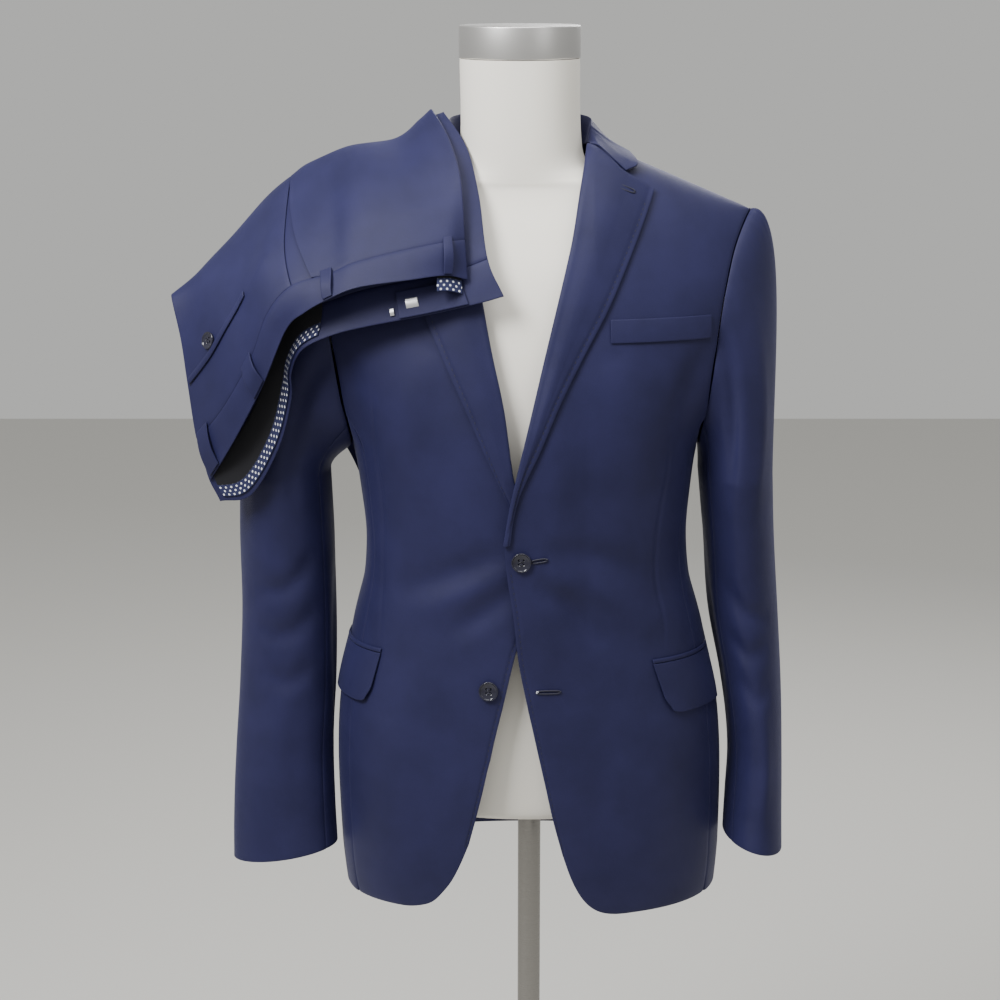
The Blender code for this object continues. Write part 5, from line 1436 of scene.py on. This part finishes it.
    def build(self) -> None:
        """Builds every jacket piece."""
        fronts = {side: self.build_front(side, edge, hem, folds, dart) for side, edge, hem, folds, dart in (
            (Side.LEFT, LEFT_EDGE, LEFT_HEM, LEFT_FRONT_FOLDS, LEFT_DART),
            (Side.RIGHT, RIGHT_EDGE, RIGHT_HEM, RIGHT_FRONT_FOLDS, RIGHT_DART))}
        lapels = {Side.LEFT: self.build_lapel(Side.LEFT, LEFT_EDGE, LEFT_LAPEL_EDGE),
                  Side.RIGHT: self.build_lapel(Side.RIGHT, RIGHT_EDGE, RIGHT_LAPEL_EDGE)}
        for side, sleeve, flap, folds in ((Side.LEFT, LEFT_SLEEVE, LEFT_FLAP, LEFT_SLEEVE_FOLDS),
                                          (Side.RIGHT, RIGHT_SLEEVE, RIGHT_FLAP, RIGHT_SLEEVE_FOLDS)):
            self.build_body(side)
            self.build_sleeve(side, sleeve, folds)
            self.build_pocket(side, flap)
            low = fronts[side].grid[:, 0, 2] < LEFT_LAPEL_EDGE[0][1] - 0.012
            name = side.name.lower()
            edge_row = fronts[side].inside(side, EDGE_STITCH, low)
            lapel_row = lapels[side].inside(side, -EDGE_STITCH, slice(8, -4))
            stitches(f"edge_stitches_{name}", [edge_row], Stitch.PICK)
            stitches(f"lapel_stitches_{name}", [lapel_row], Stitch.PICK)
        self.build_collar()
        self.build_welt()
        Button("button_top", self.spot(*TOP_BUTTON, Side.LEFT, 0.0006), BUTTON_RADIUS).build()
        Button("button_lower", self.spot(*LOWER_BUTTON, Side.RIGHT, 0.0006), BUTTON_RADIUS).build()
        self.build_buttonhole("buttonhole_top", (0.0035, 1.0930), (0.0190, 1.0955), Side.LEFT, 0.0007)
        self.build_buttonhole("buttonhole_lower", (0.0070, 0.9590), (0.0310, 0.9595), Side.LEFT, 0.0007)
        self.build_buttonhole("buttonhole_lapel", (0.0905, 1.4465), (0.1075, 1.4400), Side.LEFT, 0.0066)
        self.build_thread_end()
        carry("jacket_front_left_cloth", "jet_left_cloth", "button_top_turned", "button_top_thread",
              "thread_end", "edge_stitches_left", "buttonhole_top", "buttonhole_top_bar", "buttonhole_lower",
              "buttonhole_lower_bar")
        carry("lapel_left_cloth", "lapel_stitches_left", "buttonhole_lapel", "buttonhole_lapel_bar")
        carry("jacket_front_right_cloth", "jet_right_cloth", "button_lower_turned", "button_lower_thread",
              "edge_stitches_right")
        carry("lapel_right_cloth", "lapel_stitches_right")

    def build_thread_end(self) -> None:
        """The pale thread end left in the lower buttonhole."""
        shape = np.array(((0, 0), (-0.0006, 0.0014), (-0.0016, 0.0008), (-0.0014, -0.0006),
                          (-0.0022, 0.0004)))
        points = through(shape, np.linspace(0, 1, 18)) + (0.0090, 0.9590)
        lift = 0.0014 + self.torso.overlap(self.torso.front(*points.T))
        path = leaned(self.torso.front(*points.T, lift))
        tube("thread_end", [path], 0.0005, PALE_THREAD)


@dataclass(frozen=True)
class Button:
    """A four-hole button with a raised rim, sewn on with crossed thread."""

    name: str
    place: Matrix
    radius: float

    def build(self) -> None:
        """Turns the button, bores its holes and sews it on."""
        scale = self.radius / BUTTON_RADIUS
        thick = BUTTON_THICKNESS * scale
        radius = self.radius
        rim = [(radius * (0.925 + 0.075 * math.cos(turn)), thick * (0.62 + 0.38 * math.sin(turn)))
               for turn in np.linspace(-0.9, math.pi - 0.5, 12)]
        profile = [(0, 0), (radius * 0.80, 0), *rim, (radius * 0.80, thick * 0.66),
                   (radius * 0.62, thick * 0.52), (0, thick * 0.48)]
        made = turned(f"{self.name}_turned", profile, HORN, 64, (self.name,), self.place)
        offset = BUTTON_HOLE_OFFSET * scale
        holes = [Vector((sx * offset, sy * offset, 0)) for sx in (1, -1) for sy in (1, -1)]
        mesh_data = bmesh.new()
        for hole in holes:
            bmesh.ops.create_cone(mesh_data, cap_ends=True, segments=16, radius1=BUTTON_HOLE_RADIUS * scale,
                                  radius2=BUTTON_HOLE_RADIUS * scale, depth=0.02,
                                  matrix=self.place @ Matrix.Translation(hole))
        cutter_mesh = bpy.data.meshes.new("bores")
        mesh_data.to_mesh(cutter_mesh)
        mesh_data.free()
        cutter = bpy.data.objects.new("bores", cutter_mesh)
        bpy.context.collection.objects.link(cutter)
        bore = made.modifiers.new("bores", "BOOLEAN")
        bore.object = cutter
        depsgraph = bpy.context.evaluated_depsgraph_get()
        cut = bpy.data.meshes.new_from_object(made.evaluated_get(depsgraph))
        made.modifiers.clear()
        made.data = cut
        bpy.data.objects.remove(cutter)
        paths = []
        for sy in (1, -1):
            for shift in (-0.0004, 0.0, 0.0004):
                arch = []
                for share in np.linspace(-1, 1, 13):
                    height = thick * (0.50 + 0.14 * (1 - share ** 4)) - 0.0012 * (abs(share) > 0.99)
                    arch.append(self.place @ Vector((offset * share, sy * offset + shift, height)))
                paths.append(np.array([tuple(point) for point in arch]))
        tube(f"{self.name}_thread", paths, 0.00028 * scale, THREAD)


# ---------------------------------------------------------------- trousers
@dataclass
class Half:
    """One half of the trousers' top as it lies: lines across the cloth, rows down to the waist's edge."""

    lines: np.ndarray

    def spot(self, line: Grid, row: Grid) -> Grid:
        """Points on the cloth.

        Args:
            line: Places across the lines.
            row: Places down the rows.

        Returns:
            The points at those places.
        """
        line, row = np.broadcast_arrays(np.asarray(line, float), np.asarray(row, float))
        count, rows = self.lines.shape[:2]
        read = np.array([through(points, row / (rows - 1)) for points in self.lines])
        read = np.concatenate([2 * read[:1] - read[1:2], read, 2 * read[-1:] - read[-2:-1]])
        start = np.clip(np.floor(line), 0, count - 2).astype(int)
        part = (line - start)[..., None]
        before, here, there, after = (np.take_along_axis(read, (start + step)[None, ..., None], axis=0)[0]
                                      for step in range(4))
        return 0.5 * (2 * here + (there - before) * part
                      + (2 * before - 5 * here + 4 * there - after) * part ** 2
                      + (3 * here - before - 3 * there + after) * part ** 3)

    def draped(self, line: Grid, row: Grid, lift: Grid = 0.0) -> tuple[Grid, Grid]:
        """Points that stand off the cloth.

        Args:
            line: Places across the lines.
            row: Places down the rows.
            lift: How far the points stand off.

        Returns:
            The points and their outward directions.
        """
        step = 0.05
        line, row = np.broadcast_arrays(np.asarray(line, float), np.asarray(row, float))
        count, rows = self.lines.shape[:2]
        ahead, behind = np.minimum(line + step, count - 1), np.maximum(line - step, 0)
        below, above = np.minimum(row + step, rows - 1), np.maximum(row - step, 0)
        over = self.spot(ahead, row) - self.spot(behind, row)
        down = self.spot(line, below) - self.spot(line, above)
        out = unit(np.cross(over, down))
        return self.spot(line, row) + out * np.broadcast_to(lift, line.shape)[..., None], out


def patch(starts: Grid, ends: Grid, rows: Grid, columns: int) -> tuple[Grid, Grid]:
    """Places between two lines, which may change from row to row, at the rows given."""
    rows = np.asarray(rows, float)
    starts, ends = np.broadcast_to(starts, len(rows)), np.broadcast_to(ends, len(rows))
    return np.linspace(starts, ends, columns, axis=1), np.repeat(rows[:, None], columns, axis=1)


@dataclass
class Trousers:
    """The trousers laid over the wearer's right shoulder."""

    outer: Half = field(default_factory=lambda: Half(np.array(OUTER_HALF, float)))
    inner: Half = field(init=False)
    rows: int = 100
    columns: int = 84

    def __post_init__(self) -> None:
        """Works out the inner half from the outer one and its own waist."""
        lines = []
        for place, seam, edge in INNER_HALF:
            above = np.array(INNER_CREASE)
            if place > 0:
                above = self.outer.draped(np.full(4, place), np.arange(4.0), -np.array(INNER_DEPTH))[0]
            lines.append(np.concatenate([above, [seam, edge]]))
        self.inner = Half(np.array(lines))

    def creased(self, grid: Grid, normals: Grid) -> tuple[Grid, Grid]:
        """Folds the first edge under, as at a pressed crease.

        Args:
            grid: The piece's points.
            normals: Their outward directions.

        Returns:
            Both with the fold added before the first column.
        """
        edge = unit(grid[:, 0] - grid[:, 2])
        out = normals[:, 0]
        half = CREASE_DEPTH / 2
        turns = np.radians(np.linspace(-84, 72, 9))
        bend = [grid[:, 0] + edge * half * math.cos(turn) - out * half * (1 - math.sin(turn))
                for turn in turns]
        sides = [edge * math.cos(turn) + out * math.sin(turn) for turn in turns]
        under = [grid[:, 0] - edge * CREASE_REACH * share - out * CREASE_DEPTH
                 for share in (1.0, 0.7, 0.4, 0.15)]
        turned = np.concatenate([np.stack(under + bend, axis=1), grid], axis=1)
        around = np.concatenate([np.stack([-out] * 4 + sides, axis=1), normals], axis=1)
        return turned, unit(around)

    def wool(self, name: str, grid: Grid, normals: Grid, **facts) -> None:
        """Makes one trouser panel."""
        facts = {"thickness": TROUSER_CLOTH, "held": Held.LAID, "rests_on": ("folded_legs",), **facts}
        Piece(name, grid, normals, **facts).build()

    def build_halves(self) -> None:
        """Both legs' fronts and backs as they show at the top, the waistband and the pocket facing."""
        rows = np.linspace(0, WAIST_SEAM_ROW, self.rows)
        band_rows = np.linspace(WAIST_SEAM_ROW, 5, 20)
        mouth = SIDE_SEAM_LINE - POCKET_MOUTH_SHIFT * np.clip(rows - POCKET_TOP_ROW, 0, None) / 3
        line, row = patch(0, mouth, rows, self.columns)
        lip = POCKET_LIP * np.exp(-(mouth[:, None] - line) / 0.10) * ease(0.8, 1.5, row)
        grid, normals = self.outer.draped(line, row, fold_height(TROUSER_FOLDS, line, row) + lip)
        self.wool("trouser_front_left", *self.creased(grid, normals), seams="high")
        line, row = patch(SIDE_SEAM_LINE, 9, rows, self.columns)
        grid, normals = self.outer.draped(line, row, fold_height(TROUSER_FOLDS, line, row))
        self.wool("trouser_back_left", grid, normals, seams="left high")
        line, row = np.meshgrid(np.linspace(0, 9, 130), band_rows)
        grid, normals = self.outer.draped(line, row, fold_height(TROUSER_FOLDS, line, row))
        self.wool("waistband_left", *self.creased(grid, normals), seams="low")
        facing_rows = rows[rows > POCKET_TOP_ROW]
        facing_mouth = mouth[rows > POCKET_TOP_ROW]
        line, row = patch(facing_mouth - FACING_TUCK, SIDE_SEAM_LINE, facing_rows, 16)
        grid, normals = self.outer.draped(line, row, fold_height(TROUSER_FOLDS, line, row) - FACING_DEPTH)
        self.wool("pocket_facing", grid, normals, thickness=FACING_CLOTH, seams="high")
        for name, start, end in (("front", 0, SIDE_SEAM_LINE), ("back", SIDE_SEAM_LINE, 10)):
            grid, normals = self.inner.draped(*patch(start, end, np.linspace(0, WAIST_SEAM_ROW, 60), 60))
            self.wool(f"trouser_{name}_right", grid, normals, seams="left high" if start else "right high")
        grid, normals = self.inner.draped(*np.meshgrid(np.linspace(0, 10, 140), band_rows))
        self.wool("waistband_right", grid, normals, seams="low")

    def build_trim(self) -> None:
        """Waistband curtains, fly tab with its hook and bar, belt loops and the back pocket."""
        # The right curtain reaches down past the waist seam; beyond its dotted strip its colour is near-black
        # painted shade of the trousers' inside.
        grid, normals = self.inner.draped(*patch(4.4, 9.8, np.linspace(4.86, 3.85, 30), 120), 0.0018)
        self.wool("curtain_right", grid, normals, thickness=CURTAIN_CLOTH, finish=CURTAIN,
                  rests_on=("waistband_right",))
        places = patch(0.15, 1.25, np.linspace(4.35, 5, 20), 30)
        grid, normals = self.outer.draped(*places, -CREASE_DEPTH - 0.0005)
        fall = unit(grid[-1] - grid[-2])
        low = grid[-1] + fall * np.linspace(0.001, 0.014, 9)[:, None, None]
        grid = np.concatenate([grid, low])[::-1]
        normals = np.concatenate([normals, np.repeat(normals[-1:], 9, axis=0)])[::-1]
        self.wool("curtain_left", grid, normals, thickness=CURTAIN_CLOTH, finish=CURTAIN,
                  rests_on=("waistband_left",))
        grid, normals = self.inner.draped(*patch(1.10, 2.42, np.linspace(4.20, 4.97, 22), 40), 0.0026)
        self.wool("fly_tab", grid, normals, thickness=TRIM_CLOTH, rests_on=("waistband_right",))
        line, row = patch(6.60, 8.90, np.linspace(2.93, 3.07, 9), 70)
        swell = 0.0008 * np.sin(np.pi * (row - 2.93) / 0.14)
        grid, normals = self.outer.draped(line, row, 0.0021 + swell + fold_height(TROUSER_FOLDS, line, row))
        self.wool("back_pocket_welt", grid, normals, thickness=TRIM_CLOTH, rests_on=("trouser_back_left",))
        for name, place in (("front", 0.90), ("side", 4.05), ("back", 7.10), ("centre", 8.75)):
            rows = np.linspace(WAIST_SEAM_ROW - 0.10, WAIST_SEAM_ROW + 0.97, 30)
            bow = LOOP_LIFT + LOOP_BOW * np.sin(np.linspace(0, math.pi, 30))[:, None]
            grid, normals = self.outer.draped(*patch(place - LOOP_HALF, place + LOOP_HALF, rows, 9), bow)
            self.wool(f"belt_loop_{name}", grid, normals, thickness=TRIM_CLOTH, rests_on=("waistband_left",))
        centre, out = self.outer.draped(np.array([8.05]), np.array([2.74]), 0.0014)
        across = unit(np.cross(self.outer.spot(8.05, 2.84) - self.outer.spot(8.05, 2.64), out[0]))
        place = Matrix((across, np.cross(out[0], across), out[0])).transposed().to_4x4()
        place.translation = leaned(centre)[0]
        Button("button_back_pocket", place, BACK_BUTTON_RADIUS).build()
        self.build_hook()
        carry("fly_tab_cloth", "hook_cloth")
        carry("waistband_right_cloth", "hook_bar_cloth")
        carry("trouser_back_left_cloth", "back_pocket_welt_cloth", "button_back_pocket_turned",
              "button_back_pocket_thread")

    def build_hook(self) -> None:
        """The flat hook and its bar on the fly tab."""
        for name, start, end, low, high, lift, thick in (
                ("hook", 2.02, 2.26, 4.42, 4.72, 0.0030, 0.0009),
                ("hook_bar", 2.50, 2.58, 4.62, 4.85, 0.0016, 0.0012)):
            line, row = patch(start, end, np.linspace(low, high, 14), 14)
            arch = 0.0007 * np.sin(np.pi * (row - low) / (high - low))
            grid, normals = self.inner.draped(line, row, lift + arch)
            self.wool(name, grid, normals, thickness=thick, finish=HOOK, rests_on=("fly_tab",))

    def shoulder_under(self, x: float, y: float) -> float:
        """Height of the jacket's shoulder, or of the collar on it, below a place.

        Args:
            x: The place's distance from the middle.
            y: Its distance front to back.

        Returns:
            The height over the floor.
        """
        torso = Torso()
        heights = np.linspace(CHEST_Z, SHOULDER_Z - 1e-4, 900)
        share = np.minimum(abs(x) / at_height(torso.sections, heights)[:, 0], 0.9999) ** (SQUARENESS / 2)
        angle = np.arcsin(share)
        points = torso.point(angle if y < 0 else math.pi - angle, heights)
        found = points[np.argmax(np.abs(points[:, 1]) <= abs(y)), 2]
        return max(found, COLLAR_TOP_Z) if x > COLLAR_REACH_X else found

    def core_ring(self, y: float, places: Grid) -> tuple[Grid, Grid]:
        """Top and underside of the pile where it lies on the shoulder.

        Args:
            y: The section's place, front to back.
            places: Lines of the outer half that it runs under.

        Returns:
            Points along the top and along the underside.
        """
        rows = np.linspace(0, 2, 201)
        across = self.outer.spot(places[:, None], rows[None])[..., 1]
        row = rows[np.argmin(np.abs(across - y), axis=1)]
        top, out = self.outer.draped(places, row, -CORE_DEPTH)
        under = top - out * CORE_THICKNESS
        for number, point in enumerate(top):
            if point[0] > CORE_ON_SHOULDER_X:
                rest = self.shoulder_under(point[0], point[1]) + CORE_CLEARANCE
                low = min(max(rest, point[2] - CORE_TALL), point[2] - 0.004)
                under[number] = (point[0], point[1], low)
        return top, under

    def layered(self, top: Grid, under: Grid) -> Grid:
        """One ring round the pile, its two ends grooved as the edges of folded layers.

        Args:
            top: Points along the top.
            under: Points along the underside.

        Returns:
            Points round the ring.
        """
        steps = np.linspace(0, 1, 10 * LEGS_LAYERS + 1)[1:-1, None]
        bulge = LAYER_BULGE * np.abs(np.sin(np.pi * LEGS_LAYERS * steps)) ** 0.6 * 1.3
        ring = []
        for line, start, end, inner in ((top, top[-1], under[-1], top[-2]),
                                        (under[::-1], under[0], top[0], under[1])):
            ring += [line, start + (end - start) * steps + unit(start - inner) * bulge]
        return np.concatenate(ring)

    def build_legs(self) -> None:
        """The folded legs behind the shoulder: a soft pile with the edges of its layers."""
        places = np.linspace(*CORE_LINES, 44)
        core = [self.core_ring(y, places) for y in CORE_ROWS]
        share = np.linspace(0, 1, 44)[:, None]
        for inner, outer in zip(np.array(LEGS_INNER), np.array(LEGS_OUTER)):
            span = outer - inner
            back = unit(np.cross((0.35, 0.1, -1.0), span))
            back *= np.sign(back[1])
            top = inner + span * share + back * LEGS_CROWN * np.sin(np.pi * share) ** 0.7
            core.append((top, top - back * LEGS_THICKNESS))
        rings = np.array([self.layered(*ring) for ring in core])
        rings = through(rings, np.linspace(0, 1, 120))
        ahead = rings[-1].mean(axis=0) - rings[-2].mean(axis=0)
        middle = (rings[-1] + rings[-1][::-1]) / 2
        ends = []
        for share in (0.3, 0.55, 0.75, 0.9):
            reach = unit(ahead) * 0.008 * math.sin(share * math.pi / 2)
            ends.append(rings[-1] * (1 - share ** 2) + middle * share ** 2 + reach)
        grid = leaned(np.concatenate([rings, ends]))
        grid = np.concatenate([grid, grid[:, :1]], axis=1)
        over, down = arcs(grid)
        crown = LEGS_RIPPLE * np.sin(down * 41 + 2.2 * np.sin(over * 9)) * np.sin(over * 23 + 1.1)
        grid = grid + grid_normals(grid) * crown[..., None]
        grid[:, -1] = grid[:, 0]
        mesh_data = sheet_mesh(grid)
        bmesh.ops.remove_doubles(mesh_data, verts=mesh_data.verts, dist=1e-5)
        bmesh.ops.holes_fill(mesh_data, edges=[edge for edge in mesh_data.edges if edge.is_boundary],
                             sides=grid.shape[1] + 4)
        bmesh.ops.recalc_face_normals(mesh_data, faces=mesh_data.faces)
        made = finished("folded_legs_pile", mesh_data, WOOL, ("folded_legs",))

    def build(self) -> None:
        """Builds every trouser piece."""
        self.build_halves()
        self.build_trim()
        self.build_legs()


# ---------------------------------------------------------------- dress form and stand
@dataclass(frozen=True)
class DressForm:
    """Limbless torso with its neck, steel neck cap, pole and round base."""

    rows: int = 120
    points: int = 96

    def build_torso(self) -> None:
        """The torso as one closed surface, covered in jersey."""
        sections = through(FORM_SECTIONS, np.linspace(0, 1, self.rows))
        turn = np.linspace(0, 2 * math.pi, self.points + 1)[None]
        height, half, front, back = (column[:, None] for column in sections.T)
        x = np.sign(np.sin(turn)) * half * np.abs(np.sin(turn)) ** 0.86
        depth = np.where(np.cos(turn) > 0, front, back)
        y = -np.sign(np.cos(turn)) * depth * np.abs(np.cos(turn)) ** 0.86
        z = height - SHOULDER_DROP * ease(1.19, 1.47, height) * np.maximum(0, np.abs(x) - NECK_X)
        grid = leaned(np.stack([x, y, z], axis=-1))
        mesh_data = sheet_mesh(grid)
        bmesh.ops.remove_doubles(mesh_data, verts=mesh_data.verts, dist=1e-5)
        bmesh.ops.holes_fill(mesh_data, edges=[edge for edge in mesh_data.edges if edge.is_boundary],
                             sides=self.points + 4)
        bmesh.ops.recalc_face_normals(mesh_data, faces=mesh_data.faces)
        finished("form_torso_cover", mesh_data, JERSEY, ("form_torso",))

    def build(self) -> None:
        """Builds the form and its stand."""
        self.build_torso()
        top, bevel = CAP_SEAT_Z + CAP_TALL, 0.0012
        arc = [(bevel * math.sin(turn), bevel * (1 - math.cos(turn)))
               for turn in np.linspace(0, math.pi / 2, 5)]
        profile = [(0, CAP_SEAT_Z), *[(CAP_RADIUS - bevel + dx, CAP_SEAT_Z + dz) for dx, dz in arc],
                   *[(CAP_RADIUS - bevel + dx, top - dz) for dx, dz in arc[::-1]], (0, top)]
        lean_x = Matrix.Translation((LEAN * (CAP_SEAT_Z - LEAN_Z), 0, 0))
        turned("neck_cap_brushed", profile, STEEL, 96, ("neck_cap",), lean_x)
        low, high = BASE_TALL + 0.0003, FORM_FLOOR_Z - 0.0003
        profile = [(0, low), (POLE_RADIUS, low), (POLE_RADIUS, high), (0, high)]
        # The pole and base plate take the darker steel, whose colour is painted dark reflection.
        turned("pole_tube", profile, POLE_STEEL_PAINTED_DARK, 64, ("pole",))
        round_off = 0.003
        arc = [(BASE_RADIUS - round_off * math.sin(turn), BASE_TALL - round_off * math.cos(turn))
               for turn in np.linspace(0.3, 1.3, 3)]
        profile = [(0, 0), (BASE_RADIUS - 0.001, 0), (BASE_RADIUS, 0.001),
                   (BASE_RADIUS, BASE_TALL - round_off), *arc, (BASE_RADIUS - round_off, BASE_TALL),
                   (0, BASE_TALL)]
        turned("base_plate", profile, POLE_STEEL_PAINTED_DARK, 128, ("base",))


# ---------------------------------------------------------------- studio
@dataclass(frozen=True)
class Studio:
    """Pale floor, soft lights and the camera in front of the suit."""

    floor_half: float = 6.0
    floor_colour: tuple = (0.62, 0.61, 0.58, 1)
    sky_colour: tuple = (0.60, 0.60, 0.585, 1)
    camera_place: tuple = (-0.031, -2.3, 1.67)
    camera_pitch: float = 13.4
    lens: float = 82.8

    def light(self, name: str, place: tuple, aim: tuple, size: tuple, power: float) -> None:
        """A soft rectangular light that faces a point.

        Args:
            name: The light's name.
            place: Where it stands.
            aim: The point that it faces.
            size: Its width and height.
            power: Its power in watts.
        """
        data = bpy.data.lights.new(name, "AREA")
        data.shape = "RECTANGLE"
        data.size, data.size_y = size
        data.energy = power
        made = bpy.data.objects.new(name, data)
        made.location = place
        made.rotation_euler = (Vector(aim) - Vector(place)).to_track_quat("-Z", "Y").to_euler()
        bpy.context.collection.objects.link(made)

    def build(self) -> None:
        """Sets the stage."""
        mesh_data = bmesh.new()
        bmesh.ops.create_grid(mesh_data, x_segments=1, y_segments=1, size=self.floor_half)
        mesh = bpy.data.meshes.new("floor")
        mesh_data.to_mesh(mesh)
        mesh_data.free()
        mesh.materials.append(Finish("floor", "floor", self.floor_colour, 0.9).material())
        floor = bpy.data.objects.new("floor", mesh)
        bpy.context.collection.objects.link(floor)
        for light in LIGHTS:
            self.light(*light)
        world = bpy.data.worlds.new("pale_room")
        world.use_nodes = True
        world.node_tree.nodes["Background"].inputs["Color"].default_value = self.sky_colour
        world.node_tree.nodes["Background"].inputs["Strength"].default_value = 0.86
        bpy.context.scene.world = world
        data = bpy.data.cameras.new("camera")
        data.lens = self.lens
        camera = bpy.data.objects.new("camera", data)
        camera.location = self.camera_place
        camera.rotation_euler = (math.radians(90 - self.camera_pitch), 0, 0)
        bpy.context.collection.objects.link(camera)
        bpy.context.scene.camera = camera


def main() -> None:
    """Loads the frame, builds the form, the jacket, the trousers and the studio, and logs how many nodes the
    frame has.
    """
    logging.basicConfig(level=logging.INFO, format="%(name)s: %(message)s")
    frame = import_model()
    LOG.info("frame with %d nodes", len(frame["nodes"]))
    DressForm().build()
    Jacket().build()
    Trousers().build()
    Studio().build()


if __name__ == "__main__":
    main()
